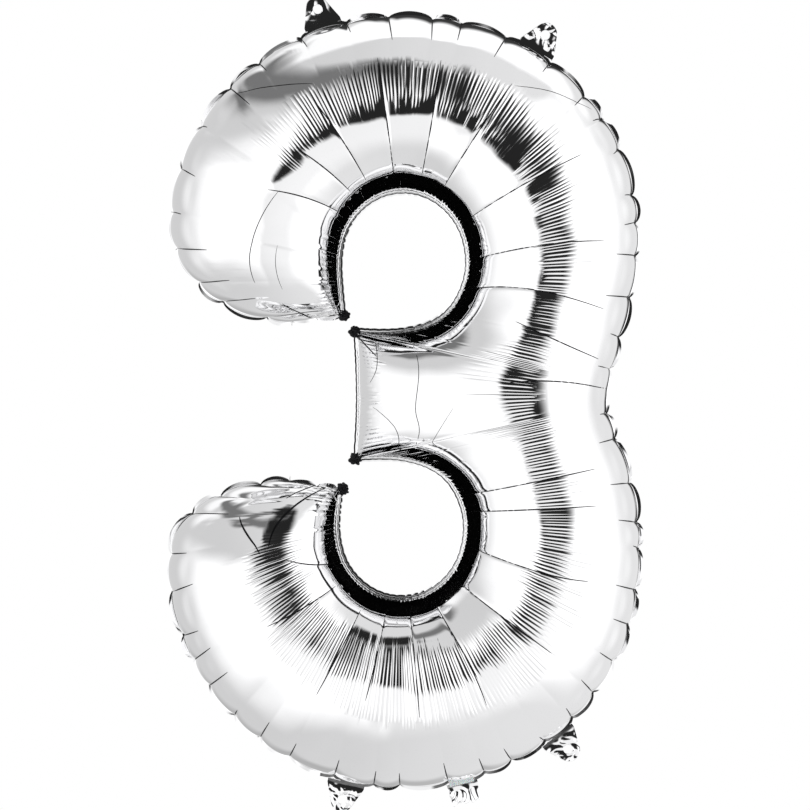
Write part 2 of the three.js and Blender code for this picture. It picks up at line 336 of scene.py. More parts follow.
@dataclass(frozen=True)
class MetallisedFilm:
    """Nylon film with aluminium evaporated onto it.

    It is a nearly perfect mirror, finely pleated where it has to shorten.
    """

    name: str = "metallised_film"
    colour: str = "#F1F1F2"
    roughness_smooth: float = 0.03
    roughness_rubbed: float = 0.09
    rub_mm: float = 45.0  # size of the patches that handling has dulled a little
    crinkle_mm: float = 9.0  # size of the film's faint crinkles
    crinkle_height_mm: float = 0.02
    rub_range: Point = (0.45, 0.75)  # the noise values between which the film goes from smooth to rubbed

    def pleats(
        self, tree: bpy.types.NodeTree, family: str, below: bpy.types.NodeSocket
    ) -> bpy.types.NodeSocket:
        """Adds one family of pleats to a height: round ridges, the absolute value of a sine.

        Args:
            tree: the material's node tree.
            family: the name that the mesh's phase and height attributes begin with.
            below: the height that the pleats stand on, in millimetres.

        Returns:
            The height with the pleats on it, in millimetres.
        """
        phase = add_node(tree, "ShaderNodeAttribute", {"attribute_name": f"{family}_phase"}).outputs["Fac"]
        height = add_node(tree, "ShaderNodeAttribute", {"attribute_name": f"{family}_height"}).outputs["Fac"]
        ridge = phase
        for operation in ("MULTIPLY", "SINE", "ABSOLUTE"):
            steps = {0: ridge, 1: math.pi} if operation == "MULTIPLY" else {0: ridge}
            ridge = add_node(tree, "ShaderNodeMath", {"operation": operation}, steps).outputs[0]
        raised = {0: ridge, 1: height, 2: below}
        return add_node(tree, "ShaderNodeMath", {"operation": "MULTIPLY_ADD"}, raised).outputs[0]

    def material(self) -> bpy.types.Material:
        """Builds the film: a metal with pleats, faint crinkles and patches of lower gloss."""
        material, tree = new_material(self.name)
        place = add_node(tree, "ShaderNodeTexCoord").outputs["Object"]
        rub = {"Vector": place, "Scale": 1 / (self.rub_mm * MM), "Detail": 3.0}
        patches = add_node(tree, "ShaderNodeTexNoise", None, rub).outputs["Fac"]
        limits = {"Value": patches, "From Min": self.rub_range[0], "From Max": self.rub_range[1]}
        limits |= {"To Min": self.roughness_smooth, "To Max": self.roughness_rubbed}
        gloss = add_node(tree, "ShaderNodeMapRange", None, limits).outputs["Result"]
        crinkling = {"Vector": place, "Scale": 1 / (self.crinkle_mm * MM), "Detail": 2.0}
        crinkle = add_node(tree, "ShaderNodeTexNoise", None, crinkling).outputs["Fac"]
        scaled = {0: crinkle, 1: self.crinkle_height_mm}
        height = add_node(tree, "ShaderNodeMath", {"operation": "MULTIPLY"}, scaled).outputs[0]
        for family in PLEAT_FAMILIES:
            height = self.pleats(tree, family, height)
        bump = add_node(tree, "ShaderNodeBump", None, {"Height": height, "Strength": 1.0, "Distance": MM})
        finish = {
            "Base Color": linear(self.colour),
            "Metallic": 1.0,
            "Roughness": gloss,
            "Normal": bump.outputs["Normal"],
        }
        shader = add_node(tree, "ShaderNodeBsdfPrincipled", None, finish)
        add_node(tree, "ShaderNodeOutputMaterial", None, {"Surface": shader.outputs["BSDF"]})
        return material


@dataclass(frozen=True)
class FoldShadeMetal:
    """Dark, dull metal: painted shade for the film's deepest folds and its crumpled corner knots."""

    name: str = "painted_fold_shade"
    # colour of the painted shade on the deepest folds and the corner knots
    colour: str = "#232325"
    roughness_least: float = 0.3
    roughness_most: float = 0.5
    grain_mm: float = 4.0

    def material(self) -> bpy.types.Material:
        """Builds the painted shade: a dark metal with uneven gloss."""
        material, tree = new_material(self.name)
        place = add_node(tree, "ShaderNodeTexCoord").outputs["Object"]
        scaled = {"Vector": place, "Scale": 1 / (self.grain_mm * MM)}
        grain = add_node(tree, "ShaderNodeTexNoise", None, scaled).outputs["Fac"]
        limits = {"Value": grain, "To Min": self.roughness_least, "To Max": self.roughness_most}
        gloss = add_node(tree, "ShaderNodeMapRange", None, limits).outputs["Result"]
        finish = {"Base Color": linear(self.colour), "Metallic": 1.0, "Roughness": gloss}
        shader = add_node(tree, "ShaderNodeBsdfPrincipled", None, finish)
        add_node(tree, "ShaderNodeOutputMaterial", None, {"Surface": shader.outputs["BSDF"]})
        return material


@dataclass(frozen=True)
class ValveFilm:
    """Blown polyethylene: thin, milky and faintly ribbed along its length."""

    name: str = "valve_polyethylene"
    colour: str = "#E4EAEA"
    roughness: float = 0.32
    ribbing_mm: float = 1.6
    ribbing_height_mm: float = 0.1
    ribbing_strength: float = 0.3
    ribbing_unevenness: float = 2.0
    milkiness: float = 0.2
    light_depth_mm: float = 1.0  # how far light goes into the film before it is scattered

    def material(self) -> bpy.types.Material:
        """Builds the film: a soft plastic with a fine ribbing in its height."""
        material, tree = new_material(self.name)
        place = add_node(tree, "ShaderNodeTexCoord").outputs["Object"]
        waves = {"Vector": place, "Scale": 1 / (self.ribbing_mm * MM), "Distortion": self.ribbing_unevenness}
        ribbing = add_node(tree, "ShaderNodeTexWave", None, waves).outputs["Fac"]
        distance = self.ribbing_height_mm * MM
        relief = {"Height": ribbing, "Strength": self.ribbing_strength, "Distance": distance}
        bump = add_node(tree, "ShaderNodeBump", None, relief)
        finish = {
            "Base Color": linear(self.colour),
            "Roughness": self.roughness,
            "Subsurface Weight": self.milkiness,
            "Subsurface Scale": self.light_depth_mm * MM,
            "Normal": bump.outputs["Normal"],
        }
        shader = add_node(tree, "ShaderNodeBsdfPrincipled", None, finish)
        add_node(tree, "ShaderNodeOutputMaterial", None, {"Surface": shader.outputs["BSDF"]})
        return material


@dataclass(frozen=True)
class BlackVelvet:
    """The flags' cloth, which returns almost no light."""

    name: str = "black_velvet"
    colour: str = "#050505"

    def material(self) -> bpy.types.Material:
        """Builds the cloth: black and fully rough."""
        material, tree = new_material(self.name)
        inputs = {"Base Color": linear(self.colour), "Roughness": 1.0, "Specular IOR Level": 0.0}
        shader = add_node(tree, "ShaderNodeBsdfPrincipled", None, inputs)
        add_node(tree, "ShaderNodeOutputMaterial", None, {"Surface": shader.outputs["BSDF"]})
        return material


@dataclass(frozen=True)
class StudioPaper:
    """Background paper, matt and nearly white."""

    name: str = "studio_paper"
    colour: str = "#F6F6F6"
    mottle_mm: float = 1000 / 3
    roughness_least: float = 0.85
    roughness_most: float = 0.95

    def material(self) -> bpy.types.Material:
        """Builds the paper: matt, with a faint mottle."""
        material, tree = new_material(self.name)
        place = add_node(tree, "ShaderNodeTexCoord").outputs["Object"]
        scaled = {"Vector": place, "Scale": 1 / (self.mottle_mm * MM)}
        mottle = add_node(tree, "ShaderNodeTexNoise", None, scaled).outputs["Fac"]
        limits = {"Value": mottle, "To Min": self.roughness_least, "To Max": self.roughness_most}
        roughness = add_node(tree, "ShaderNodeMapRange", None, limits).outputs["Result"]
        finish = {"Base Color": linear(self.colour), "Roughness": roughness}
        shader = add_node(tree, "ShaderNodeBsdfPrincipled", None, finish)
        add_node(tree, "ShaderNodeOutputMaterial", None, {"Surface": shader.outputs["BSDF"]})
        return material


# ---- The figure's outline ------------------------------------------------------------------------


@dataclass(frozen=True)
class Ellipse:
    """An upright ellipse in the seam's plane."""

    centre: Point
    radii: Point

    def at(self, degrees: Array) -> Array:
        """Points at these angles, counted from +X towards +Z."""
        a = np.radians(np.atleast_1d(degrees))
        across = self.centre[0] + self.radii[0] * np.cos(a)
        return np.column_stack([across, self.centre[1] + self.radii[1] * np.sin(a)])


@dataclass
class Figure:
    """The seam's outline as ribs: straight lines across the stroke, each from the outer to the inner seam.

    The ribs run from the end of the upper stroke, over the upper bowl, through the waist and the middle arm,
    round the lower bowl to the end of the lower stroke. A place on the stroke is a rib number and a share of
    the way across, 0 at the outer seam and 1 at the inner seam.
    """

    low: Array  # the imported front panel's box, in millimetres
    high: Array
    flange: float = 4.5
    hole_radii: Point = (71.0, 77.5)
    upper_end_drop: float = 60.0
    lower_end_drop: float = 44.0
    end_flare: float = 6.0
    prong_reach: float = 54.0
    prong_dish: float = 3.0
    edge_steps: int = 120  # points on an opening's outline
    dense_steps: int = 6000  # places at which the stroke's length is measured
    least_step: float = 0.12  # the shortest step between stations, as a share of the even one
    outer_points: Array = field(init=False)
    inner_points: Array = field(init=False)
    corners: list[int] = field(init=False)

    def share(self, x: float, z: float) -> Point:
        """A point given as shares of the half width and the half height of the seam."""
        half = (self.high - self.low) / 2 - self.flange
        middle = (self.high + self.low) / 2
        return (middle[0] + x * half[0], middle[2] + z * half[2])

    def __post_init__(self) -> None:
        """Lays the ribs out in order."""
        half = (self.high - self.low) / 2 - self.flange
        self.upper = Ellipse(self.share(0, 0.442), (0.992 * half[0], 0.558 * half[2]))
        self.lower = Ellipse(self.share(0, -0.411), (half[0], 0.589 * half[2]))
        self.upper_hole = Ellipse(self.share(-0.004, 0.362), self.hole_radii)
        self.lower_hole = Ellipse(self.share(-0.013, -0.331), self.hole_radii)
        upper_end = [(-0.475, 0.199), (-0.712, 0.233), (-0.9, 0.318)]
        lower_end = [(-0.925, -0.3), (-0.729, -0.227), (-0.483, -0.199)]
        right = [(0.962, 0.261), (0.903, 0.132), (0.869, 0.054), (0.86, 0.026), (0.86, 0.013)]
        right += [(0.86, 0), (0.869, -0.028), (0.903, -0.096), (0.97, -0.217)]
        over, under = np.linspace(180, 0, 9), np.linspace(0, -180, 9)
        shares = [np.array([self.share(*p) for p in part]) for part in (upper_end, right, lower_end)]
        outer = [shares[0], self.upper.at(over), shares[1], self.lower.at(under), shares[2]]
        top, foot = self.upper_hole.at(-90)[0], self.lower_hole.at(90)[0]
        middle = (self.low + self.high)[0] / 2
        reach = np.array([-self.prong_reach, self.prong_dish - self.prong_reach, -self.prong_reach])
        tip = np.column_stack([middle + reach, [top[1], (top[1] + foot[1]) / 2, foot[1]]])
        inner = [
            self.stroke_end(self.upper_hole, self.upper_end_drop, -1, 3),
            self.upper_hole.at(over),
            self.upper_hole.at([-20, -50, -90]),
            tip,
            self.lower_hole.at([90, 50, 20]),
            self.lower_hole.at(under),
            self.stroke_end(self.lower_hole, self.lower_end_drop, 1, 3)[::-1],
        ]
        self.outer_points, self.inner_points = np.concatenate(outer), np.concatenate(inner)
        first_tip = sum(len(part) for part in inner[:3])
        self.corners = [0, first_tip, first_tip + 2, len(self.inner_points) - 1]

    def openings(self) -> tuple[Array, Array]:
        """Outlines of the free openings inside the two bowls.

        Returns:
            Two outlines, each closed by a straight line from the stroke's end to the middle arm.
        """
        outlines = []
        for first, last in ((self.corners[0], self.corners[1]), (self.corners[2], self.corners[3])):
            edge = self.inner(np.linspace(first, last, self.edge_steps))
            middle = edge.mean(axis=0)
            outlines.append(edge - self.flange * unit(edge - middle))
        return outlines[0], outlines[1]

    def stroke_end(self, hole: Ellipse, drop: float, towards: int, count: int) -> Array:
        """Inner ends of a stroke's last ribs, from the end towards the bowl.

        Args:
            hole: the bowl's hole.
            drop: from the hole's centre to the end of the stroke.
            towards: 1 if the end lies above the hole's centre, -1 if below.
            count: how many ribs.

        Returns:
            One point for each rib. They lean into the hole by the flare, which grows with the square.
        """
        left = 1 - np.arange(count) / count
        x = hole.centre[0] - hole.radii[0] + self.end_flare * left**2
        return np.column_stack([x, hole.centre[1] + towards * drop * left])

    def outer(self, at: Array) -> Array:
        """Points of the outer seam at these rib numbers."""
        return smooth_curve(self.outer_points, at)

    def inner(self, at: Array) -> Array:
        """Points of the inner seam at these rib numbers: a separate curve between each two corners."""
        points = np.zeros((len(at), 2))
        for first, last in zip(self.corners[:-1], self.corners[1:]):
            here = (at >= first) & (at <= last)
            points[here] = smooth_curve(self.inner_points[first : last + 1], at[here] - first)
        return points

    def place(self, at: Array, across: Array) -> Array:
        """Points at pairs of rib number and share across."""
        outer, inner = self.outer(at), self.inner(at)
        return outer + (inner - outer) * across[:, None]

    def stations(self, count: int, multiple: int = 4, end_zone: float = 55.0) -> Array:
        """Rib numbers for a fine grid: even along the stroke, and closer in the end zones.

        Every corner of the outline falls on one, after a whole multiple of steps.

        Args:
            count: about how many.
            multiple: what the number of steps between two corners divides by.
            end_zone: length of the zone at each end where they draw together, in millimetres.

        Returns:
            The rib numbers, rising.
        """
        dense = np.linspace(0, self.corners[-1], self.dense_steps)
        walked = (arc_lengths(self.outer(dense)) + arc_lengths(self.inner(dense))) / 2
        to_end = np.minimum(walked, walked[-1] - walked) / end_zone
        density = 1 / np.clip(np.sqrt(to_end), self.least_step, 1)
        number = np.concatenate([[0], np.cumsum(np.diff(walked) * (density[1:] + density[:-1]) / 2)])
        marks = np.interp(self.corners, dense, number)
        steps = np.maximum(1, np.round(np.diff(marks) / marks[-1] * count / multiple)).astype(int) * multiple
        parts = [np.linspace(a, b, n, endpoint=False) for a, b, n in zip(marks[:-1], marks[1:], steps)]
        return np.interp(np.concatenate([*parts, marks[-1:]]), number, dense)


@dataclass
class Swelling:
    """How far gas lifts the film off the seam's plane.

    A soap film over the outline, loaded evenly, has a height f with f_xx + f_zz = -2, and f = 0 on the seam.
    The root of f is a half circle on a straight strip, and rounds off ends and forks as gas pressure does.
    """

    figure: Figure
    plumpness: float = 0.95
    steps_across: int = 40
    coarser: int = 4  # stations of the fine grid for each one of the solver's grid
    sweeps: int = 900  # most steps that the solver takes
    close_enough: float = 1e-12  # share of the first error at which it stops
    least_area: float = 1e-9  # keeps a triangle without area from dividing by nothing

    def edges(self, flat: Array) -> tuple[NDArray[np.int64], NDArray[np.int64], Array, Array]:
        """Finite-element weights of a flat grid.

        Args:
            flat: the grid's points, rows by columns by 2.

        Returns:
            The two ends of each triangle's edges, the edges' cotangent weights, and each point's load.
        """
        rows, columns = flat.shape[:2]
        quads = grid_faces(rows, columns)
        triangles = np.concatenate([quads[:, [0, 1, 2]], quads[:, [0, 2, 3]]])
        points = flat.reshape(-1, 2)
        starts, ends, weights = [], [], []
        load = np.zeros(len(points))
        for c in range(3):
            i, j, k = triangles[:, c], triangles[:, (c + 1) % 3], triangles[:, (c + 2) % 3]
            u, v = points[i] - points[k], points[j] - points[k]
            cross = u[:, 0] * v[:, 1] - u[:, 1] * v[:, 0]
            twice_area = np.maximum(np.abs(cross), self.least_area)
            starts.append(i)
            ends.append(j)
            weights.append((u * v).sum(axis=1) / twice_area / 2)
            load += np.bincount(i, twice_area / 3, len(points))
        return np.concatenate(starts), np.concatenate(ends), np.concatenate(weights), load

    def solve(self, flat: Array) -> Array:
        """The soap film's height on a flat grid, by conjugate gradients with the diagonal as the helper."""
        rows, columns = flat.shape[:2]
        starts, ends, weights, load = self.edges(flat)
        count = rows * columns
        free = np.zeros((rows, columns))
        free[1:-1, 1:-1] = 1
        free = free.ravel()
        diagonal = np.bincount(starts, weights, count) + np.bincount(ends, weights, count)
        helper = free / np.where(free > 0, diagonal, 1)

        def pull(f: Array) -> Array:
            """The film's tension at each point."""
            flow = weights * (f[starts] - f[ends])
            return (np.bincount(starts, flow, count) - np.bincount(ends, flow, count)) * free

        film = np.zeros(count)
        left = load * free
        ready = helper * left
        towards = ready.copy()
        gain = left @ ready
        first_gain = gain
        for _ in range(self.sweeps):
            reply = pull(towards)
            step = gain / (towards @ reply)
            film += step * towards
            left -= step * reply
            ready = helper * left
            new_gain = left @ ready
            if new_gain < self.close_enough * first_gain:
                break
            towards = ready + towards * new_gain / gain
            gain = new_gain
        return film.reshape(rows, columns)

    def heights(self, at: Array, across: Array) -> Array:
        """Heights on the fine grid: solved on a coarser one, then taken through cubics."""
        coarse_at = at[:: self.coarser]
        shares = np.linspace(0, 1, self.steps_across + 1)
        outer, inner = self.figure.outer(coarse_at)[:, None], self.figure.inner(coarse_at)[:, None]
        film = self.solve(outer + (inner - outer) * shares[None, :, None])
        rows = resample_rows(film, np.arange(len(at)) / self.coarser)
        table = resample_rows(rows.T, across * self.steps_across).T
        return self.plumpness * np.sqrt(np.maximum(table, 0))


# ---- Creases, puffs and pleats -------------------------------------------------------------------


@dataclass(frozen=True)
class Crease:
    """A line along which the film is drawn in, through places on the stroke."""

    places: tuple[Point, ...]
    depth: float = 0.9
    width: float = 1.6
    line: float = 1.5  # width of its dark line of painted shade, 0 for none

    def walk(self, steps: int) -> tuple[Array, Array]:
        """Rib numbers and shares across at even steps along it, on a smooth curve."""
        places = np.array(self.places)
        curve = smooth_curve(places, np.linspace(0, len(places) - 1, steps))
        return curve[:, 0], curve[:, 1]


@dataclass
class Lobes:
    """A row of puffs along a seam with a pinch between each two."""

    length: float
    pitch: float
    spread: float
    rng: np.random.Generator
    least_strength: float = 0.45
    breaks: Array = field(init=False)
    strength: Array = field(init=False)
    tilt: Array = field(init=False)

    def __post_init__(self) -> None:
        """Draws uneven puffs that fill the length exactly, with a strength and a tilt for each."""
        count = max(2, round(self.length / self.pitch))
        sizes = self.rng.uniform(1 - self.spread, 1 + self.spread, count)
        self.breaks = np.concatenate([[0], np.cumsum(sizes)]) * self.length / sizes.sum()
        self.strength = self.rng.uniform(self.least_strength, 1.0, count)
        self.tilt = self.rng.uniform(-1.0, 1.0, count)

    def number(self, along: Array) -> NDArray[np.int64]:
        """The number of the puff at each distance along the seam."""
        return np.clip(np.searchsorted(self.breaks, along, side="right") - 1, 0, len(self.strength) - 1)

    def hill(self, along: Array, power: float = 0.7) -> Array:
        """0 at the pinches and 1 in the middle of each puff: a half sine wave raised to a power."""
        n = self.number(along)
        q = (along - self.breaks[n]) / (self.breaks[n + 1] - self.breaks[n])
        return np.sin(np.pi * np.clip(q, 0, 1)) ** power

    def phase(self, along: Array) -> Array:
        """The number of the puff with a fraction, which rises by 1 from pinch to pinch."""
        n = self.number(along)
        return n + (along - self.breaks[n]) / (self.breaks[n + 1] - self.breaks[n])

    def lean(self, along: Array) -> Array:
        """Each puff's tilt, by a half sine wave from pinch to pinch."""
        return self.tilt[self.number(along)] * self.hill(along, 1.0)

    def to_pinch(self, along: Array) -> Array:
        """Distance to the nearest pinch."""
        n = self.number(along)
        return np.minimum(np.abs(along - self.breaks[n]), np.abs(self.breaks[n + 1] - along))


@dataclass
class Stroke:
    """The swollen stroke on a fine grid, and what both of its sheets share along the seam."""

    figure: Figure
    swelling: Swelling
    station_count: int = 1650
    calm: tuple[Point, ...] = ()  # where the seam stays flat, for the tabs and the neck
    calm_reach: float = 30.0
    columns: int = 51
    outer_pitch: float = 43.0  # mean length of the puffs along the outer seam
    inner_pitch: float = 9.0
    end_pitch: float = 31.0
    spreads: Point3 = (0.32, 0.4, 0.2)  # unevenness of the puffs: outer seam, inner seam and ends
    calm_fade: float = 15.0  # over which distance the seam becomes lively again
    crowding: Point3 = (1.0, 0.22, 4.0)  # extra columns near the outer seam: how many, how far, how abruptly
    inner_crowding: Point3 = (0.6, 0.15, 4.0)  # and near the inner seam
    girth_steps: int = 2000
    seed: int = 34

    def __post_init__(self) -> None:
        """Lays out the flat grid, solves the swelling and draws the puffs."""
        rng = np.random.default_rng(self.seed)
        self.at = self.figure.stations(self.station_count)
        self.stations = len(self.at)
        girth = np.linspace(0, 1, self.girth_steps)  # even steps round a half circle
        density = np.ones_like(girth)
        for place, (extra, reach, power) in ((girth, self.crowding), (1 - girth, self.inner_crowding)):
            density += extra * np.exp(-((place / reach) ** power))
        number = np.concatenate([[0], np.cumsum((density[1:] + density[:-1]) / 2)])
        turn = np.interp(np.linspace(0, number[-1], self.columns), number, girth * np.pi)
        self.across = (1 - np.cos(turn)) / 2
        outer, inner = self.figure.outer(self.at)[:, None], self.figure.inner(self.at)[:, None]
        self.flat = outer + (inner - outer) * self.across[None, :, None]
        self.height = self.swelling.heights(self.at, self.across)
        self.height[[0, -1]] = 0
        self.height[:, [0, -1]] = 0
        swollen = np.stack([self.flat[..., 0], self.height, self.flat[..., 1]], axis=-1)
        self.from_outer = arc_lengths(swollen, 1)
        self.from_inner = self.from_outer[:, -1:] - self.from_outer
        self.from_start = arc_lengths(swollen, 0)
        self.from_finish = self.from_start[-1:] - self.from_start
        self.along_outer, self.along_inner = arc_lengths(self.flat[:, 0]), arc_lengths(self.flat[:, -1])
        self.along_start, self.along_finish = arc_lengths(self.flat[0]), arc_lengths(self.flat[-1])
        outer_spread, inner_spread, end_spread = self.spreads
        self.outer_lobes = Lobes(self.along_outer[-1], self.outer_pitch, outer_spread, rng)
        self.inner_lobes = Lobes(self.along_inner[-1], self.inner_pitch, inner_spread, rng)
        self.start_lobes = Lobes(self.along_start[-1], self.end_pitch, end_spread, rng)
        self.finish_lobes = Lobes(self.along_finish[-1], self.end_pitch, end_spread, rng)
        self.restless = np.ones(self.stations)
        for x, z in self.calm:
            away = np.linalg.norm(self.flat[:, 0] - np.array([x, z]), axis=1)
            self.restless *= smoothstep((away - self.calm_reach) / self.calm_fade)

    def rim(self) -> NDArray[np.int64]:
        """Numbers of the grid's vertices along the seam: outer seam, last end, inner seam, first end."""
        i, j, columns = np.arange(self.stations - 1), np.arange(self.columns - 1), self.columns
        outer, finish = i * columns, (self.stations - 1) * columns + j
        inner, start = (i[::-1] + 1) * columns + columns - 1, j[::-1] + 1
        return np.concatenate([outer, finish, inner, start])

    def along_rim(self, outer: Array, finish: Array, inner: Array, start: Array) -> Array:
        """Values on the four sides of the grid, in the rim's order."""
        return np.concatenate([outer[:-1], finish[:-1], inner[:0:-1], start[:0:-1]])

    def rim_hills(self) -> Array:
        """How far each place on the rim is out of its pinches, 0 to 1. The holes' rim has none."""
        return self.along_rim(
            1 + (self.outer_lobes.hill(self.along_outer) - 1) * self.restless,
            self.finish_lobes.hill(self.along_finish),
            np.ones(self.stations),
            self.start_lobes.hill(self.along_start),
        )

    def rim_tilts(self) -> Array:
        """How far the flange leans to the front or the back at each place on the rim, -1 to 1."""
        outer, finish, start = (
            lobes.lean(along)
            for lobes, along in (
                (self.outer_lobes, self.along_outer),
                (self.finish_lobes, self.along_finish),
                (self.start_lobes, self.along_start),
            )
        )
        return self.along_rim(outer * self.restless, finish, np.zeros(self.stations), start)

    def rim_outward(self) -> Array:
        """Directions out of the figure in the seam's plane, along the rim."""
        points = self.flat.reshape(-1, 2)[self.rim()]
        before, after = unit(points - np.roll(points, 1, 0)), unit(np.roll(points, -1, 0) - points)
        ahead = unit(before + after)
        return np.column_stack([-ahead[:, 1], ahead[:, 0]])


@dataclass
class Sheet:
    """One of the balloon's two sheets, with its half of the sealed flange."""

    name: str
    node: str
    side: Side
    stroke: Stroke
    creases: tuple[Crease, ...]
    seed: int
    seam_gap: float = 0.15  # from the seam's plane to the film
    flange: float = 4.5
    flange_rows: int = 4
    roll: float = 0.45  # how far the holes' flange bulges between the seam and its edge
    puff_depth: float = 3.4  # how far an outer pinch draws the film in
    puff_reach: float = 34.0
    end_puff_depth: float = 1.1
    end_puff_reach: float = 20.0
    end_hem: float = 19.0  # the same three measures as the hem's, at the stroke's ends
    end_hem_width: float = 4.0
    end_hem_depth: float = 0.3
    end_hem_bulge: float = 0.15
    comb_pitch: float = 4.0  # the fine folds between the end seams and their hem
    comb_height: float = 0.4
    inner_puff_depth: float = 0.45
    inner_puff_reach: float = 7.0
    dent_height: float = 0.55
    dent_length: float = 95.0
    seam_wave: float = 1.6  # how far a puff's seam leaves the seam's plane
    pinch_width: float = 2.6
    hem: float = 56.0  # length of a puff, from the seam to the soft valley that closes it
    hem_width: float = 8.0
    hem_depth: float = 0.9
    hem_bulge: float = 1.1
    pleat_pitch: float = 4.1
    pleat_height: float = 0.56
    pleat_share: float = 0.42  # the line across the stroke on which the pitch is measured
    pleat_zone: tuple[Point3, ...] = (  # rib number, and the shares across between which the pleats lie
        (4.4, 0.34, 0.56),
        (7.0, 0.30, 0.50),
        (11.0, 0.26, 0.58),
        (14.0, 0.30, 0.55),
        (18.0, 0.30, 0.55),
        (21.0, 0.28, 0.60),
        (25.0, 0.38, 0.76),
        (28.6, 0.47, 0.78),
        (29.8, 0.50, 0.80),
    )
    pleat_ends: Point = (4.4, 29.4)  # rib numbers of the first and the last pleat
    pleat_fades: Point = (0.6, 0.8)  # over how many ribs they grow there
    pleat_edges: Point = (0.04, 0.1)  # shares across over which a pleat's two ends fade
    pleat_jitter: float = 0.02  # how far a pleat's ends wander, as a share across
    pleat_groups: float = 70.0  # length of the stretches where pleats are deeper or shallower
    mean_group: float = 0.75  # their mean height as a share, its swing, and its limits
    group_swing: float = 0.35
    least_group: float = 0.4
    most_group: float = 1.25
    least_pleat: float = 0.35  # height of the shallowest pleat, as a share
    gather_pitch: float = 4.6  # the folds along the inner seam
    gather_height: float = 0.75
    gather_reach: float = 42.0
    gather_spread: Point = (0.75, 1.35)  # the shortest and the longest fold, as shares of the reach
    gather_rise: Point = (3.0, 14.0)  # where a gather begins, and over which distance it grows
    gather_fall: float = 10.0  # over which distance it fades out
    comb_rise: Point = (2.0, 4.0)  # the same for the combs, from the end seam
    comb_gap: float = 6.0  # the combs stop this far from the inner seam
    comb_side: Point = (20.0, 30.0)  # where they begin, from the outer seam, and how soon they are full
    unevenness: float = 0.3  # of the pitch of pleats, gathers and combs
    pinch_share: float = 0.45  # depth of a pinch's own crease, as a share of its puff's
    pinch_reach: Point = (0.5, 0.6)  # shares of the puff's reach: at no strength, and added at full strength
    crease_steps: int = 24  # points along a crease
    crease_start: Point = (0.12, 0.25)  # share of its length over which it grows, and its strength at 0
    crease_finish: float = 0.45  # the share over which it ends
    crease_reach: float = 40.0  # beyond this a crease has no effect
    crease_foot: float = 9.0  # width of a crease's foot, in widths of the crease
    crease_sharpness: float = 0.55  # share of its depth that is sharp
    crease_margin: float = 6.0  # creases fade out this near the seam
    dent_margin: float = 30.0
    small_dents: float = 0.12  # dents of a third of the length, as a share of the height
    seam_reach: float = 12.0  # how far into the film the seam's waves reach
    flange_lean: float = 0.6  # steepest lean of the flange out of the seam's plane
    flange_least: float = 0.5  # its width at a pinch, as a share
    film: Array = field(init=False)

    def smooth_points(self) -> Array:
        """The swollen film before anything creases it."""
        flat, height = self.stroke.flat, self.stroke.height
        return np.stack([flat[..., 0], self.side.value * (height + self.seam_gap), flat[..., 1]], axis=-1)

    def normals(self, points: Array) -> Array:
        """Directions out of the film: the cross product of the steps along and across the grid."""
        n = unit(np.cross(np.gradient(points, axis=0), np.gradient(points, axis=1)))
        return n * self.side.value * np.sign(n[..., 1].sum())

    def edge_window(self, reach: float) -> Array:
        """0 on the seam, rising to 1 at a distance from it."""
        s = self.stroke
        nearest = np.minimum(np.minimum(s.from_outer, s.from_inner), np.minimum(s.from_start, s.from_finish))
        return smoothstep(nearest / reach)

    def puffs(self) -> Array:
        """The seam's puffs and pinches, as a height on the grid.

        The film is drawn in between the puffs, less and less with distance from the seam, by an exponential.
        A short sharp crease runs in from each pinch. A soft valley, a bell curve, closes each puff, and half
        a sine wave swells it up to there.
        """
        s = self.stroke
        total = np.zeros_like(s.height)
        inner = (self.inner_puff_depth, self.inner_puff_reach)
        ends = (self.end_puff_depth, self.end_puff_reach)
        outer_hem = (self.hem, self.hem_width, self.hem_depth, self.hem_bulge)
        end_hem = (self.end_hem, self.end_hem_width, self.end_hem_depth, self.end_hem_bulge)
        for lobes, along, away, depth, reach, shape in (
            (s.outer_lobes, s.along_outer, s.from_outer, self.puff_depth, self.puff_reach, (-1, 1)),
            (s.inner_lobes, s.along_inner, s.from_inner, *inner, (-1, 1)),
            (s.start_lobes, s.along_start, s.from_start, *ends, (1, -1)),
            (s.finish_lobes, s.along_finish, s.from_finish, *ends, (1, -1)),
        ):
            strength = lobes.strength[lobes.number(along)].reshape(shape)
            hill = lobes.hill(along).reshape(shape)
            pinched = reach * (self.pinch_reach[0] + self.pinch_reach[1] * strength)
            inward = np.exp(-((away / pinched) ** 2))
            sharp = np.exp(-lobes.to_pinch(along).reshape(shape) / self.pinch_width) * inward
            total += (hill - 1) * depth * np.exp(-away / reach) - self.pinch_share * depth * sharp
            if lobes is not s.inner_lobes:
                length, width, valley, rise = outer_hem if lobes is s.outer_lobes else end_hem
                hem = np.exp(-(((away - length) / width) ** 2))
                bulge = np.sin(np.pi * np.clip(away / length, 0, 1))
                total += hill * strength * (rise * bulge - valley * hem)
        return total

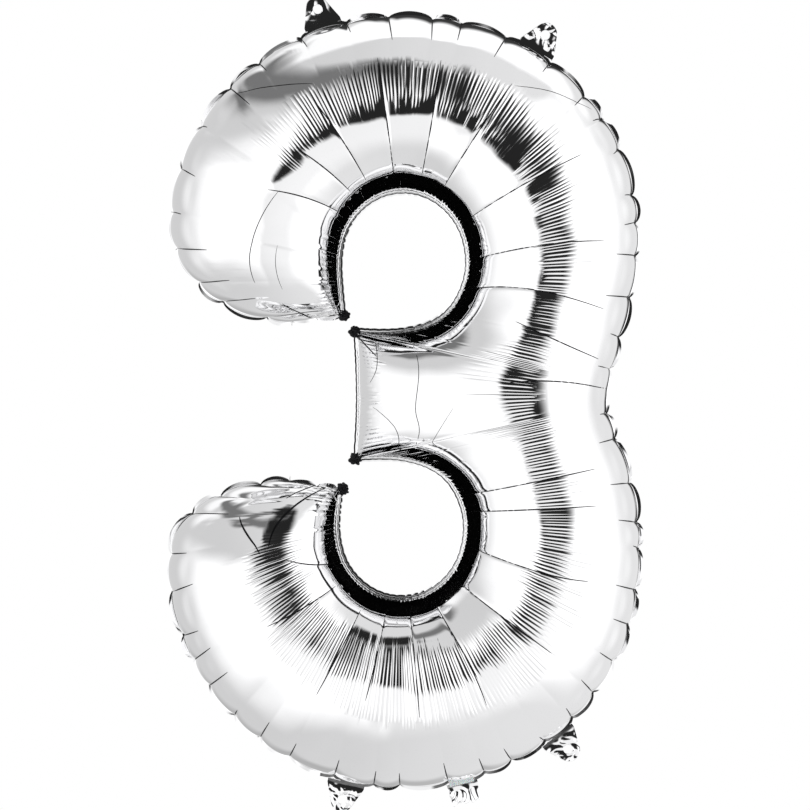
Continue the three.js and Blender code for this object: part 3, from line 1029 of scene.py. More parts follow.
    def crease_field(self) -> Array:
        """All creases together, as a height on the grid.

        Each is a valley along its line, an exponential in the middle and a bell curve at the foot, and it
        fades out towards both of its ends.
        """
        s = self.stroke
        total = np.zeros_like(s.height)
        x, z = s.flat[..., 0], s.flat[..., 1]
        for crease in self.creases:
            line = s.figure.place(*crease.walk(self.crease_steps))
            walked = arc_lengths(line)
            low, high = line.min(axis=0) - self.crease_reach, line.max(axis=0) + self.crease_reach
            near = (x > low[0]) & (x < high[0]) & (z > low[1]) & (z < high[1])
            points = np.stack([x[near], z[near]], axis=-1)
            best, where = np.full(len(points), np.inf), np.zeros(len(points))
            for a, b, start in zip(line[:-1], line[1:], walked[:-1]):
                run = b - a
                t = np.clip((points - a) @ run / (run @ run), 0, 1)
                away = np.linalg.norm(points - a - t[:, None] * run, axis=1)
                closer = away < best
                best[closer] = away[closer]
                where[closer] = start + t[closer] * np.linalg.norm(run)
            share = where / walked[-1]
            fade = smoothstep(share / self.crease_start[0] + self.crease_start[1])
            fade = fade * smoothstep((1 - share) / self.crease_finish)
            sharp = np.exp(-best / crease.width)
            wide = np.exp(-((best / (self.crease_foot * crease.width)) ** 2))
            shape = self.crease_sharpness * sharp + (1 - self.crease_sharpness) * wide
            total[near] -= crease.depth * fade * shape
        return total * self.edge_window(self.crease_margin)

    def pleats(self, rng: np.random.Generator) -> dict[str, Array]:
        """The two families of fine pleats, each with its own strength and its own ends.

        Args:
            rng: source of the pleats' unevenness.

        Returns:
            For each family a phase, which rises by 1 from one pleat to the next, and a height.
        """
        s = self.stroke
        column = int(np.abs(s.across - self.pleat_share).argmin())
        line = arc_lengths(self.smooth_points()[:, column])
        lobes = Lobes(line[-1], self.pleat_pitch, self.unevenness, rng)
        number = lobes.number(line)
        jitter = rng.uniform(-self.pleat_jitter, self.pleat_jitter, len(lobes.strength))[number]
        marks, starts, ends = np.array(self.pleat_zone).T
        start = (np.interp(s.at, marks, starts) + jitter)[:, None]
        end = (np.interp(s.at, marks, ends) + 2 * jitter)[:, None]
        groups = self.mean_group + self.group_swing * ripple(line, 0 * line, self.pleat_groups, rng)
        groups = np.clip(groups, self.least_group, self.most_group)
        strength = (groups * rng.uniform(self.least_pleat, 1.0, len(lobes.strength))[number])[:, None]
        across = s.across[None, :]
        window = smoothstep((across - start) / self.pleat_edges[0] + 0.5)
        window = window * smoothstep((end - across) / self.pleat_edges[1] + 0.5)
        along = smoothstep((s.at - self.pleat_ends[0]) / self.pleat_fades[0])
        along = along * smoothstep((self.pleat_ends[1] - s.at) / self.pleat_fades[1])
        phases, heights = {}, {}
        phases["pleat"] = np.broadcast_to(lobes.phase(line)[:, None], s.height.shape)
        heights["pleat"] = self.pleat_height * strength * window * along[:, None]
        gathers = Lobes(s.along_inner[-1], self.gather_pitch, self.unevenness, rng)
        number = gathers.number(s.along_inner)
        reaches = self.gather_reach * rng.uniform(*self.gather_spread, len(gathers.strength))
        reach, strength = reaches[number][:, None], gathers.strength[number][:, None]
        window = smoothstep((s.from_inner - self.gather_rise[0]) / self.gather_rise[1])
        window = window * smoothstep((reach - s.from_inner) / self.gather_fall + 0.5)
        phases["gather"] = np.broadcast_to(gathers.phase(s.along_inner)[:, None], s.height.shape)
        heights["gather"] = self.gather_height * strength * window
        for along, away in ((s.along_start, s.from_start), (s.along_finish, s.from_finish)):
            combs = Lobes(along[-1], self.comb_pitch, self.unevenness, rng)
            inside = (away < self.end_hem) & (s.from_inner > self.comb_gap)
            begin, growth = self.comb_rise
            comb = smoothstep((away - begin) / growth) * smoothstep((self.end_hem - away) / growth)
            comb = comb * smoothstep((s.from_outer - self.comb_side[0]) / self.comb_side[1])
            comb = comb * combs.strength[combs.number(along)]
            phases["gather"] = np.where(inside, combs.phase(along)[None, :], phases["gather"])
            heights["gather"] = np.where(inside, self.comb_height * comb, heights["gather"])
        values = {f"{family}_phase": phases[family] for family in PLEAT_FAMILIES}
        return values | {f"{family}_height": heights[family] for family in PLEAT_FAMILIES}

    def dents(self, rng: np.random.Generator) -> Array:
        """Wide shallow unevenness, so that no reflection runs perfectly straight."""
        x, z = self.stroke.flat[..., 0], self.stroke.flat[..., 1]
        wide = ripple(x, z, self.dent_length, rng)
        small = ripple(x, z, self.dent_length / 3, rng)
        return self.dent_height * (wide + self.small_dents * small) * self.edge_window(self.dent_margin)

    def points(self) -> tuple[Array, Array, dict[str, Array]]:
        """The creased film and its flange.

        Returns:
            The grid's points, the flange's rows of points from the seam outwards, and the values that the
            material reads, one for each of the grid's points.
        """
        s = self.stroke
        rng = np.random.default_rng(self.seed)
        smooth = self.smooth_points()
        values = self.pleats(rng)
        moved = self.puffs() + self.crease_field() + self.dents(rng)
        film = smooth + moved[..., None] * self.normals(smooth)
        for lobes, along, away, shape in (
            (s.outer_lobes, s.along_outer, s.from_outer, (-1, 1)),
            (s.start_lobes, s.along_start, s.from_start, (1, -1)),
            (s.finish_lobes, s.along_finish, s.from_finish, (1, -1)),
        ):
            wave = self.seam_wave * lobes.lean(along)
            if lobes is s.outer_lobes:
                wave = wave * s.restless
            film[..., 1] += wave.reshape(shape) * np.exp(-away / self.seam_reach)
        seam = film.reshape(-1, 3)[s.rim()]
        width = self.flange * (self.flange_least + (1 - self.flange_least) * s.rim_hills())
        out, lean = s.rim_outward(), self.flange_lean * s.rim_tilts()
        zero = [np.zeros(count) for count in (s.stations, s.columns)]
        rolled = self.roll * s.along_rim(zero[0], zero[1], zero[0] + 1, zero[1])
        rows = []
        for row in range(1, self.flange_rows + 1):
            share = row / self.flange_rows
            step = (width * share)[:, None]
            bulge = self.side.value * rolled * math.sin(math.pi * share)
            edge = seam + step * np.column_stack([out[:, 0], lean, out[:, 1]])
            rows.append(edge + np.column_stack([0 * bulge, bulge, 0 * bulge]))
        return film, np.stack(rows), values

    def build(self, material: bpy.types.Material) -> bpy.types.Object:
        """Makes the sheet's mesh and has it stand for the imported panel."""
        film, flange, values = self.points()
        self.film = film
        s = self.stroke
        rim, first = s.rim(), s.stations * s.columns
        ring = np.arange(len(rim))
        rows = [rim] + [first + row * len(rim) + ring for row in range(self.flange_rows)]
        faces = [grid_faces(s.stations, s.columns)]
        for near, far in zip(rows[:-1], rows[1:]):
            faces.append(np.column_stack([near, np.roll(near, -1), np.roll(far, -1), far]))
        quads = np.concatenate(faces)
        if self.side is Side.BACK:
            quads = quads[:, ::-1]
        points = np.concatenate([film.reshape(-1, 3), flange.reshape(-1, 3)])
        piece = new_piece(self.name, points, quads, material)
        flat = np.zeros(self.flange_rows * len(rim))
        for name, value in values.items():
            add_attribute(piece, name, np.concatenate([value.ravel(), flat]))
        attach(piece, ROOT)
        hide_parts(self.node)
        return piece


@dataclass
class CreaseLines:
    """Painted shade along one sheet's sharpest folds: dark lines laid on the film.

    They are narrow strips that follow the film: one for each crease, and a short one that runs in from each
    pinch of the seam.
    """

    name: str
    sheet: Sheet
    seed: int
    pinch_line: float = 1.5  # width of the painted shade lines at the pinches
    least_reach: float = 40.0  # length of the lines at the pinches
    most_reach: float = 78.0
    lift: float = 0.10  # above the film
    tip_share: float = 0.25  # a strip's width at its tips, as a share of its greatest
    first_share: float = 0.02  # where a pinch's line starts, as a share of its length
    most_drift: float = 2.0  # how many stations its inner end may lie to the side
    steps: int = 48
    normals: Array = field(init=False)

    def strip(self, rows: Array, columns: Array, width: float) -> Array:
        """Both edges of a strip along places on the grid, widest in the middle.

        Args:
            rows, columns: fractional row and column numbers, one pair for each step.
            width: greatest width in millimetres.

        Returns:
            Points, steps by 2 by 3.
        """
        film = self.sheet.film
        line = sample_grid(film, rows, columns)
        up = unit(sample_grid(self.normals, rows, columns))
        side = unit(np.cross(up, np.gradient(line, axis=0)))
        share = np.linspace(0, 1, len(rows))
        swell = self.tip_share + (1 - self.tip_share) * np.sin(np.pi * share) ** 0.5
        half = (width / 2 * swell)[:, None]
        middle = line + self.lift * up
        return np.stack([middle - half * side, middle + half * side], axis=1)

    def pinch_strips(self) -> list[Array]:
        """A strip in from each pinch of the outer seam and of the stroke's two ends."""
        s = self.sheet.stroke
        rng = np.random.default_rng(self.seed)
        strips = []
        share = np.linspace(self.first_share, 1, self.steps)
        for at in s.outer_lobes.breaks[1:-1]:
            row = np.interp(at, s.along_outer, np.arange(s.stations))
            reach = rng.uniform(self.least_reach, self.most_reach)
            columns = np.interp(share * reach, s.from_outer[int(row)], np.arange(s.columns))
            drift = rng.uniform(-self.most_drift, self.most_drift) * share**2
            strips.append(self.strip(row + drift, columns, self.pinch_line))
        for lobes, along, away, first in (
            (s.start_lobes, s.along_start, s.from_start, 1),
            (s.finish_lobes, s.along_finish, s.from_finish[::-1], -1),
        ):
            for at in lobes.breaks[1:-1]:
                column = np.interp(at, along, np.arange(s.columns))
                reach = rng.uniform(self.least_reach, self.most_reach)
                rows = np.interp(share * reach, away[:, int(column)], np.arange(s.stations))
                rows = rows if first > 0 else s.stations - 1 - rows
                strips.append(self.strip(rows, column + 0 * rows, self.pinch_line))
        return strips

    def build(self, material: bpy.types.Material) -> bpy.types.Object:
        """Makes the strips as one piece."""
        s = self.sheet.stroke
        self.normals = self.sheet.normals(self.sheet.film)
        strips = self.pinch_strips()
        for crease in self.sheet.creases:
            if crease.line:
                at, across = crease.walk(self.steps)
                rows = np.interp(at, s.at, np.arange(s.stations))
                columns = np.interp(across, s.across, np.arange(s.columns))
                strips.append(self.strip(rows, columns, crease.line))
        quads = grid_faces(self.steps, 2)[:, ::-1]
        faces = np.concatenate([quads + number * self.steps * 2 for number in range(len(strips))])
        piece = new_piece(self.name, np.concatenate(strips).reshape(-1, 3), faces, material)
        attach(piece, ROOT)
        return piece


# ---- Tabs, neck and valve ------------------------------------------------------------------------


@dataclass
class FoldLine:
    """A joint's line as a local frame.

    Across runs along the line, out runs out of the figure, and depth is -Y.
    """

    joint: dict

    def __post_init__(self) -> None:
        """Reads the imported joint."""
        self.root = np.array(self.joint["pos_m"]) / MM
        self.across = np.array(self.joint["axis"], dtype=float)
        self.out = np.array([-self.across[2], 0.0, self.across[0]])
        self.body: str = self.joint["child"]

    def points(self, across: Array, out: Array, depth: Array) -> Array:
        """Points in the model's frame, in millimetres."""
        forwards = np.array([0.0, -1.0, 0.0])
        flat = across[..., None] * self.across + out[..., None] * self.out
        return self.root + flat + depth[..., None] * forwards

    def attach(self, piece: bpy.types.Object, reach: float) -> None:
        """Bakes the piece's placement into its mesh."""
        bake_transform(piece)


@dataclass
class HangTab:
    """A punched tab of both films, sealed flat and crumpled by handling."""

    line: FoldLine
    seed: int
    base: float = 43.0
    height: float = 30.5
    tip_radius: float = 12.5
    hole_radius: float = 5.0
    hole_from_tip: float = 14.0
    foot: float = 4.0  # how far the tab reaches under the flange
    thickness: float = 0.22
    crumple: float = 0.85
    crumple_length: float = 26.0
    fold_middle: float = 0.6  # taken from the folds, so that they lie on both sides of the seam's plane
    small_folds: float = 0.35  # height of the folds of half the length, as a share
    flat_foot: float = 9.0  # from the fold line to where the tab is fully crumpled
    curl: float = 3.0  # how far the tip leans out of the seam's plane
    curl_power: float = 1.5
    bend_reach: float = 3.0
    tip_points: int = 40
    rows: int = 22
    columns: int = 132

    def outline(self) -> Array:
        """The edge as across and out: up one side, round the tip, down the other side and along the foot."""
        half, centre = self.base / 2, self.height - self.tip_radius
        to_corner = math.atan2(-centre, half)
        touch = to_corner + math.acos(self.tip_radius / math.hypot(half, centre))
        turn = np.linspace(touch, math.pi - touch, self.tip_points)
        arc = np.column_stack([self.tip_radius * np.cos(turn), centre + self.tip_radius * np.sin(turn)])
        corners = [(half, -self.foot), (half, 0)], [(-half, 0), (-half, -self.foot), (half, -self.foot)]
        line = np.concatenate([corners[0], arc, corners[1]])
        walked = arc_lengths(line)
        even = np.linspace(0, walked[-1], self.columns, endpoint=False)
        return np.column_stack([np.interp(even, walked, line[:, 0]), np.interp(even, walked, line[:, 1])])

    def build(self, material: bpy.types.Material) -> bpy.types.Object:
        """Makes the tab: a closed skin, from the hole to the edge in front and back to the hole behind."""
        rng = np.random.default_rng(self.seed)
        edge = self.outline()
        centre = np.array([0.0, self.height - self.hole_from_tip])
        hole = centre + self.hole_radius * unit(edge - centre)
        share = np.linspace(0, 1, self.rows)[:, None, None]
        flat = hole + (edge - hole) * share
        across, out = flat[..., 0], flat[..., 1]
        fold = np.abs(ripple(across, out, self.crumple_length, rng)) - self.fold_middle
        fold += self.small_folds * np.abs(ripple(across, out, self.crumple_length / 2, rng))
        lean = self.curl * rng.uniform(-1, 1) * (np.maximum(out, 0) / self.height) ** self.curl_power
        depth = self.crumple * fold * smoothstep(out / self.flat_foot) + lean
        front = self.line.points(across, out, depth + self.thickness / 2)
        back = self.line.points(across, out, depth - self.thickness / 2)[::-1]
        skin = np.concatenate([front, back])
        quads = grid_faces(2 * self.rows, self.columns, closed=True, looped=True)
        piece = new_piece(self.line.body, skin.reshape(-1, 3), quads[:, ::-1], material)
        self.line.attach(piece, self.bend_reach)
        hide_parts(f"{self.line.body}_front", f"{self.line.body}_back")
        return piece


@dataclass
class FillingNeck:
    """The neck that the balloon is filled through: both films, open at the end and pressed together."""

    line: FoldLine
    seed: int
    width: float = 35.0
    length: float = 19.5
    foot: float = 4.0
    thickness: float = 0.15
    mouth: float = 1.6  # how far the films stand apart at the open end
    gap: float = 0.12  # from the seam's plane to the inside, at the foot
    ragged: float = 0.06  # unevenness of the cut, as a share of the length
    ragged_length: float = 12.0
    taper: float = 0.12  # how much narrower the mouth is, as a share
    inner_width: float = 0.99  # of the tube's inside, as a share of its outside
    crumple: float = 1.3
    crumple_length: float = 17.0
    fold_middle: float = 0.6
    flat_foot: float = 7.0
    bend_reach: float = 3.0
    rows: int = 26
    columns: int = 96

    def build(self, material: bpy.types.Material) -> bpy.types.Object:
        """Makes the neck: a flattened tube whose skin turns in at the open end and runs back inside."""
        rng = np.random.default_rng(self.seed)
        turn = np.linspace(0, 2 * np.pi, self.columns, endpoint=False)[None, :]
        walk = np.linspace(0, 1, self.rows)[:, None]
        cut = self.ragged * ripple(self.width * np.cos(turn), 0 * turn, self.ragged_length, rng)
        out = -self.foot + (self.length + self.foot) * walk * (1 + cut * walk)
        half = self.width / 2 * (1 - self.taper * smoothstep(out / self.length))
        across = half * np.cos(turn)
        fold = np.abs(ripple(across, out, self.crumple_length, rng)) - self.fold_middle
        depth = self.crumple * fold * smoothstep(out / self.flat_foot)
        gap = self.gap + self.mouth / 2 * smoothstep(out / self.length) ** 2
        outside = self.line.points(across, out, depth + np.sin(turn) * (gap + self.thickness))
        inside = self.line.points(across * self.inner_width, out, depth + np.sin(turn) * gap)[::-1]
        skin = np.concatenate([outside, inside])
        quads = grid_faces(2 * self.rows, self.columns, closed=True, looped=True)
        piece = new_piece("filling_neck", skin.reshape(-1, 3), quads[:, ::-1], material)
        self.line.attach(piece, self.bend_reach)
        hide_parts("filling_neck_front", "filling_neck_back")
        return piece


@dataclass
class CornerGather:
    """The film bunched up at one corner of the stroke, where the seam turns sharply: a crumpled knot. The
    balloon gives it the dark metal, as painted shade inside the crumple.
    """

    name: str
    at: Point  # the corner of the seam, in millimetres
    seed: int
    size: Point = (6.0, 4.5)  # half width and half depth
    crumple: float = 0.2  # of the size
    slant: Point = (0.6, -0.4)  # how the folds lean as they run round it
    fold_length: float = 1.1  # in half widths
    fold_middle: float = 0.5
    rows: int = 36
    columns: int = 56

    def build(self, material: bpy.types.Material) -> bpy.types.Object:
        """Makes the knot: a ball whose radius swings with folds that run round it."""
        rng = np.random.default_rng(self.seed)
        polar = np.linspace(0, np.pi, self.rows)[:, None]
        turn = np.linspace(0, 2 * np.pi, self.columns, endpoint=False)[None, :]
        x, z, y = np.sin(polar) * np.cos(turn), np.sin(polar) * np.sin(turn), np.cos(polar) + 0 * turn
        slanted = x + self.slant[0] * y, z + self.slant[1] * y
        folds = np.abs(ripple(*slanted, self.fold_length, rng)) - self.fold_middle
        radius = 1 + self.crumple * folds
        across, depth = self.size
        points = [self.at[0] + across * radius * x, depth * radius * y, self.at[1] + across * radius * z]
        quads = grid_faces(self.rows, self.columns, closed=True)
        piece = new_piece(self.name, np.stack(points, axis=-1).reshape(-1, 3), quads, material)
        weld(piece)
        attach(piece, ROOT)
        return piece


@dataclass
class Valve:
    """The self-closing valve inside the neck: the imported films, in polyethylene."""

    nodes: dict[str, bpy.types.Object]
    parts: tuple[str, ...] = ("valve_throat", "valve_flap_front", "valve_flap_back")

    def finish(self, material: bpy.types.Material) -> None:
        """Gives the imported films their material."""
        for part in self.parts:
            for slot in self.nodes[part].material_slots:
                slot.material = material


# ---- The balloon and its studio ------------------------------------------------------------------


FRONT_CREASES = (
    Crease(((4.5, 0.93), (4.0, 0.53))),
    Crease(((5.2, 0.9), (4.9, 0.53))),
    Crease(((5.8, 0.9), (5.6, 0.38))),
    Crease(((6.7, 0.98), (6.65, 0.27)), 1.2),
    Crease(((7.6, 0.92), (7.5, 0.27)), 1.2),
    Crease(((8.4, 0.92), (8.5, 0.25)), 1.2),
    Crease(((9.7, 0.93), (9.85, 0.24)), 1.2),
    Crease(((11.0, 0.99), (11.0, 0.58), (11.1, 0.22)), 1.2),
    Crease(((12.15, 0.99), (12.0, 0.72), (12.25, 0.16)), 1.2),
    Crease(((12.85, 0.62), (13.4, 0.1))),
    Crease(((15.6, 0.42), (14.8, 0.0))),
    Crease(((19.7, 0.97), (19.6, 0.5), (19.55, 0.2)), 1.2),
    Crease(((20.25, 0.98), (20.25, 0.25))),
    Crease(((21.55, 0.98), (21.5, 0.55), (21.4, 0.3)), 1.2),
    Crease(((22.75, 0.97), (22.6, 0.6), (22.55, 0.34)), 1.2),
    Crease(((23.8, 0.95), (23.7, 0.65), (23.75, 0.36))),
    Crease(((24.7, 0.96), (24.75, 0.4)), 1.2),
    Crease(((25.5, 0.95), (25.6, 0.47)), 1.2),
    Crease(((26.3, 0.9), (26.35, 0.4))),
    Crease(((27.35, 0.9), (27.65, 0.48))),
    Crease(((27.9, 0.97), (28.55, 0.7))),
    Crease(((15.05, 1.0), (15.35, 0.92))),
    Crease(((14.4, 0.95), (15.5, 0.92), (15.8, 0.95)), 0.9, 3.0, 0.8),
    Crease(((14.1, 0.9), (15.2, 0.76), (16.3, 0.77), (16.8, 0.75), (18.1, 0.9)), 1.3, 4.0, 0.8),
    Crease(((16.2, 0.94), (16.8, 0.83), (18.0, 0.95)), 0.9, 3.0, 0.8),
    Crease(((16.3, 0.62), (17.8, 0.78)), 0.6, 4.0, 0.5),
    Crease(((30.05, 0.36), (29.4, 0.47), (28.8, 0.56)), 1.3, 4.5, 2.2),
    Crease(((31.9, 0.72), (30.1, 0.65), (28.9, 0.61)), 1.3, 4.5, 2.2),
    Crease(((4.85, 0.07), (5.3, 0.2), (5.7, 0.3)), 1.4, 5.0, 1.0),
    Crease(((4.1, 0.59), (3.0, 0.5), (1.8, 0.41)), 1.2, 6.0, 1.0),
    Crease(((3.05, 0.65), (1.55, 0.57)), 0.8, 5.0, 0.6),
    Crease(((8.55, 0.25), (8.95, 0.15), (9.45, 0.04)), 0.9, 5.0, 0.8),
)


@dataclass(frozen=True)
class Jitter:
    """How far the creases of the sheet behind differ from those in front."""

    along: Point = (-0.3, 0.3)  # in rib numbers
    across: Point = (-0.05, 0.02)  # in shares across
    width: Point = (0.8, 1.3)
    depth: Point = (0.7, 1.2)

    def apply(self, creases: tuple[Crease, ...], seed: int) -> tuple[Crease, ...]:
        """The same creases, each moved and deepened a little at random."""
        rng = np.random.default_rng(seed)
        moved = []
        for crease in creases:
            shift = rng.uniform(*self.along)
            places = tuple((p[0] + shift, p[1] + rng.uniform(*self.across)) for p in crease.places)
            width = crease.width * rng.uniform(*self.width)
            moved.append(Crease(places, crease.depth * rng.uniform(*self.depth), width, crease.line))
        return tuple(moved)


@dataclass
class Balloon:
    """The whole figure: two sheets, four tabs, a neck and its valve."""

    frame: dict
    tabs: tuple[tuple[str, float], ...] = (  # each tab and how deeply it is crumpled
        ("hang_tab_top_left", 0.25),
        ("hang_tab_top_right", 0.85),
        ("hang_tab_bottom_left", 0.85),
        ("hang_tab_bottom_right", 0.85),
    )
    seed: int = 7  # of the front sheet, and one more of the back sheet
    line_seed: int = 9
    tab_seed: int = 17
    neck_seed: int = 27
    knot_seed: int = 37

    def fold_line(self, body: str) -> FoldLine:
        """The line that a tab or the neck folds along."""
        return FoldLine(next(j for j in self.frame["joints"] if j["child"] == body))

    def build(self) -> Figure:
        """Makes every piece.

        Returns:
            The figure's outline.
        """
        low, high = (np.array(corner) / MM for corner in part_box("front_panel"))
        figure = Figure(low, high)
        lines = [self.fold_line(name) for name, _ in (*self.tabs, ("filling_neck", 0.0))]
        calm = tuple((line.root[0], line.root[2]) for line in lines)
        stroke = Stroke(figure, Swelling(figure), calm=calm)
        film = MetallisedFilm().material()
        # dark metal for the deepest folds and the corner knots: painted shade
        shade_metal = FoldShadeMetal().material()
        front = Sheet("front_sheet", "front_panel", Side.FRONT, stroke, FRONT_CREASES, self.seed)
        behind = Jitter().apply(FRONT_CREASES, self.seed)
        back = Sheet("back_sheet", "back_panel", Side.BACK, stroke, behind, self.seed + 1)
        for sheet in (front, back):
            sheet.build(film)
            CreaseLines(f"{sheet.name}_creases", sheet, self.line_seed).build(shade_metal)
            log.info("%s made, %d stations", sheet.name, stroke.stations)
        for number, corner in enumerate(figure.inner(np.array(figure.corners, dtype=float))):
            CornerGather(f"corner_gather_{number}", tuple(corner), self.knot_seed + number).build(shade_metal)
        for number, (line, (_, crumple)) in enumerate(zip(lines[:-1], self.tabs)):
            HangTab(line, self.tab_seed + number, crumple=crumple).build(film)
        FillingNeck(lines[-1], self.neck_seed).build(film)
        Valve(self.frame["nodes"]).finish(ValveFilm().material())
        log.info("tabs, neck and valve made")
        return figure


@dataclass(frozen=True)
class Patch:
    """A part of the surroundings: a window of directions, and what it does to the light there.

    Rise and fall are the angles between which the window opens and closes: round from the camera's side,
    positive to the right, and up from the horizon, all in degrees.
    """

    round_rise: Point
    round_fall: Point
    up_rise: Point
    up_fall: Point
    gain: float = 0.0  # light added
    shade: float = 0.0  # share of the light taken away

    def edges(
        self, turned: bpy.types.NodeSocket, raised: bpy.types.NodeSocket
    ) -> tuple[tuple[bpy.types.NodeSocket, Point], ...]:
        """The window's four edges: an angle, and where it is outside and fully inside that edge."""
        return (
            (turned, self.round_rise),
            (turned, self.round_fall[::-1]),
            (raised, self.up_rise),
            (raised, self.up_fall[::-1]),
        )


SURROUNDINGS = (
    Patch((-115.0, -60.0), (-14.0, -4.0), (-62.0, -28.0), (14.0, 34.0), gain=0.55),  # softbox to the left
    Patch((22.0, 42.0), (68.0, 125.0), (-48.0, -22.0), (36.0, 52.0), gain=0.55),  # softbox to the right
    Patch((-30.0, -5.0), (20.0, 45.0), (-60.0, -25.0), (-10.0, -2.0), gain=0.22),  # bright floor in front
    Patch((85.0, 110.0), (181.0, 182.0), (32.0, 48.0), (91.0, 92.0), gain=0.4),  # ceiling behind, right
    Patch((-182.0, -181.0), (-110.0, -85.0), (32.0, 48.0), (91.0, 92.0), gain=0.4),  # ceiling behind, left
    Patch((-10.0, -4.0), (22.0, 38.0), (-9.0, -4.0), (46.0, 62.0), shade=0.975),  # dark side at the camera
    Patch((148.0, 162.0), (181.0, 182.0), (-9.0, -4.0), (42.0, 60.0), shade=0.95),  # dark behind, right
    Patch((-182.0, -181.0), (-174.0, -168.0), (-9.0, -4.0), (42.0, 60.0), shade=0.95),  # and left
    Patch((150.0, 175.0), (181.0, 182.0), (-60.0, -40.0), (-22.0, -10.0), shade=0.35),  # dim floor behind
    Patch((-182.0, -181.0), (-165.0, -130.0), (-60.0, -40.0), (-22.0, -10.0), shade=0.35),  # and left
)


@dataclass(frozen=True)
class Drape:
    """A cloth hung on a round rail near the balloon, with feathered edges, that only reflections show.

    Angles go round from the camera's side, positive to the right, in degrees. Lengths are millimetres.
    """

    name: str
    turns: tuple[float, float, float, float]  # where it begins, is full, starts to thin out and ends
    heights: tuple[float, float, float, float]
    light: float  # what it gives back, against white paper
    radius: float = 750.0
    rows: int = 40
    columns: int = 90

    def build(self) -> None:
        """Makes the cloth and its material."""
        turn = np.linspace(self.turns[0], self.turns[3], self.columns)[None, :]
        height = np.linspace(self.heights[0], self.heights[3], self.rows)[:, None]
        angle = np.radians(turn)
        parts = np.broadcast_arrays(self.radius * np.sin(angle), -self.radius * np.cos(angle), height)
        material, tree = new_material(self.name)
        cover = add_node(tree, "ShaderNodeAttribute", {"attribute_name": "cover"}).outputs["Fac"]
        light = {"Color": linear("#FFFFFF"), "Strength": self.light}
        glow = add_node(tree, "ShaderNodeEmission", None, light)
        clear = add_node(tree, "ShaderNodeBsdfTransparent")
        inputs = {0: cover, 1: clear.outputs["BSDF"], 2: glow.outputs["Emission"]}
        mix = add_node(tree, "ShaderNodeMixShader", None, inputs)
        add_node(tree, "ShaderNodeOutputMaterial", None, {"Surface": mix.outputs["Shader"]})
        points = np.stack(parts, axis=-1).reshape(-1, 3)
        cloth = new_piece(self.name, points, grid_faces(self.rows, self.columns), material)
        density = smooth_window(turn, self.turns) * smooth_window(height, self.heights)
        add_attribute(cloth, "cover", density.ravel())
        cloth.visible_camera = cloth.visible_diffuse = cloth.visible_shadow = False
        cloth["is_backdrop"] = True


DRAPES = (
    Drape("grey_drape", (-140.0, -118.0, -16.0, -6.0), (700.0, 950.0, 1150.0, 1700.0), 0.2),
    Drape("black_drape", (-17.0, -11.0, 22.0, 38.0), (500.0, 700.0, 1150.0, 1700.0), 0.02),
)


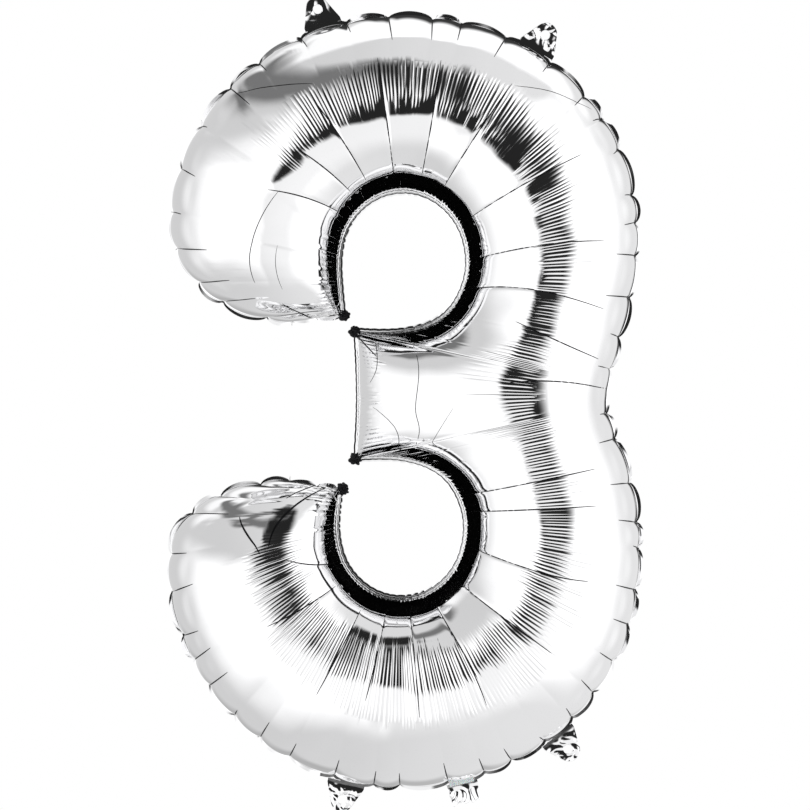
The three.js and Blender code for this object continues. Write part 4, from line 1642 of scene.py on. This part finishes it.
@dataclass
class Studio:
    """Pale floor, pale surroundings with softboxes and a dark side, flags, drapes and a long lens.

    The black flags fill the figure's holes. The lens is level with the figure.
    """

    low: Array  # the object's box, in metres
    high: Array
    holes: tuple[Array, ...]  # outlines of the openings that the flags fill, in millimetres
    level: float = 0.70  # light from every direction before the patches
    right_level: float = 0.17  # how much more comes from the right
    side_change: float = 0.7  # share of the way to either side over which that changes
    frame_width: float = 0.8972  # width of the picture at the balloon's middle
    lens_mm: float = 180.0
    sensor_mm: float = 36.0
    aim: Point = (0.0011, -0.0007)
    floor_drop: float = 1.1
    floor_radius: float = 6.0
    floor_sides: int = 96
    farthest: float = 100.0  # how far the camera sees

    def build(self) -> None:
        """Makes the floor, the flags, the surroundings and the camera."""
        floor_z = (self.low[2] - self.floor_drop) / MM
        radius = self.floor_radius / MM
        turn = np.linspace(0, 360, self.floor_sides + 1)[:-1]
        edge = Ellipse((0.0, 0.0), (radius, radius)).at(turn)
        floor = self.sheet("studio_floor", edge, floor_z, StudioPaper().material())
        floor.visible_glossy = False  # the surroundings already hold what the film mirrors of it
        floor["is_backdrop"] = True
        velvet = BlackVelvet().material()
        for number, hole in enumerate(self.holes):
            flag = self.sheet(f"studio_flag_{number}", hole, None, velvet)
            flag.visible_camera = flag.visible_diffuse = flag.visible_shadow = False
            flag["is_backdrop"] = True
        for drape in DRAPES:
            drape.build()
        self.surroundings()
        self.camera()
        bpy.context.scene.view_settings.view_transform = "Standard"

    def sheet(
        self, name: str, edge: Array, height: float | None, material: bpy.types.Material
    ) -> bpy.types.Object:
        """A flat sheet with this edge, of sectors round its middle.

        Args:
            name: the object's name.
            edge: the outline in millimetres.
            height: where it lies, or None for a sheet that stands upright in the seam's plane.
            material: the sheet's finish.

        Returns:
            The sheet.
        """
        flat = np.stack([np.tile(edge.mean(axis=0), (len(edge), 1)), edge])
        across, up = flat[..., 0], flat[..., 1]
        parts = (across, 0 * up, up) if height is None else (across, up, 0 * up + height)
        points = np.stack(parts, axis=-1).reshape(-1, 3)
        return new_piece(name, points, grid_faces(2, len(edge), closed=True), material)

    def surroundings(self) -> None:
        """The light from every direction: one level, then the patches one after another."""
        world = bpy.data.worlds.new("surroundings")
        world.use_nodes = True
        bpy.context.scene.world = world
        tree = world.node_tree
        tree.nodes.clear()
        direction = add_node(tree, "ShaderNodeTexCoord").outputs["Generated"]
        x, y, z = add_node(tree, "ShaderNodeSeparateXYZ", None, {"Vector": direction}).outputs
        towards = add_node(tree, "ShaderNodeMath", {"operation": "MULTIPLY"}, {0: y, 1: -1.0}).outputs[0]
        turned = add_node(tree, "ShaderNodeMath", {"operation": "ARCTAN2"}, {0: x, 1: towards}).outputs[0]
        raised = add_node(tree, "ShaderNodeMath", {"operation": "ARCSINE"}, {0: z}).outputs[0]
        sides = {"Value": x, "From Min": -self.side_change, "From Max": self.side_change}
        sides |= {"To Min": self.level, "To Max": self.level + self.right_level}
        smooth = {"interpolation_type": "SMOOTHSTEP"}
        light = add_node(tree, "ShaderNodeMapRange", smooth, sides).outputs["Result"]
        for patch in SURROUNDINGS:
            inside = None
            for angle, (outside, full) in patch.edges(turned, raised):
                marks = {"Value": angle, "From Min": math.radians(outside), "From Max": math.radians(full)}
                edge = add_node(tree, "ShaderNodeMapRange", smooth, marks).outputs["Result"]
                both = {0: edge, 1: 1.0 if inside is None else inside}
                inside = add_node(tree, "ShaderNodeMath", {"operation": "MULTIPLY"}, both).outputs[0]
            if patch.gain:
                added = {0: inside, 1: patch.gain, 2: light}
                light = add_node(tree, "ShaderNodeMath", {"operation": "MULTIPLY_ADD"}, added).outputs[0]
            if patch.shade:
                left = {0: inside, 1: -patch.shade, 2: 1.0}
                kept = add_node(tree, "ShaderNodeMath", {"operation": "MULTIPLY_ADD"}, left).outputs[0]
                both = {0: light, 1: kept}
                light = add_node(tree, "ShaderNodeMath", {"operation": "MULTIPLY"}, both).outputs[0]
        white = {"Color": linear("#FFFFFF")}
        lighting = add_node(tree, "ShaderNodeBackground", None, white | {"Strength": light}).outputs[0]
        backdrop = add_node(tree, "ShaderNodeBackground", None, white | {"Strength": 1.0}).outputs[0]
        seen = add_node(tree, "ShaderNodeLightPath").outputs["Is Camera Ray"]
        mix = add_node(tree, "ShaderNodeMixShader", None, {0: seen, 1: lighting, 2: backdrop})
        add_node(tree, "ShaderNodeOutputWorld", None, {"Surface": mix.outputs["Shader"]})

    def camera(self) -> None:
        """A long lens in front of the balloon, level and square to it."""
        data = bpy.data.cameras.new("camera")
        data.lens, data.sensor_width = self.lens_mm, self.sensor_mm
        camera = bpy.data.objects.new("camera", data)
        bpy.context.scene.collection.objects.link(camera)
        distance = self.frame_width * self.lens_mm / self.sensor_mm
        camera.location = (self.aim[0], -distance, self.aim[1])
        camera.rotation_euler = (math.pi / 2, 0.0, 0.0)
        data.clip_end = self.farthest
        bpy.context.scene.camera = camera


def main() -> None:
    """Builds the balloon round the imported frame, and the studio round the balloon."""
    logging.basicConfig(level=logging.INFO, format="%(name)s: %(message)s")
    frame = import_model()
    low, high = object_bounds()
    figure = Balloon(frame).build()
    Studio(np.array(low), np.array(high), figure.openings()).build()


if __name__ == "__main__":
    main()
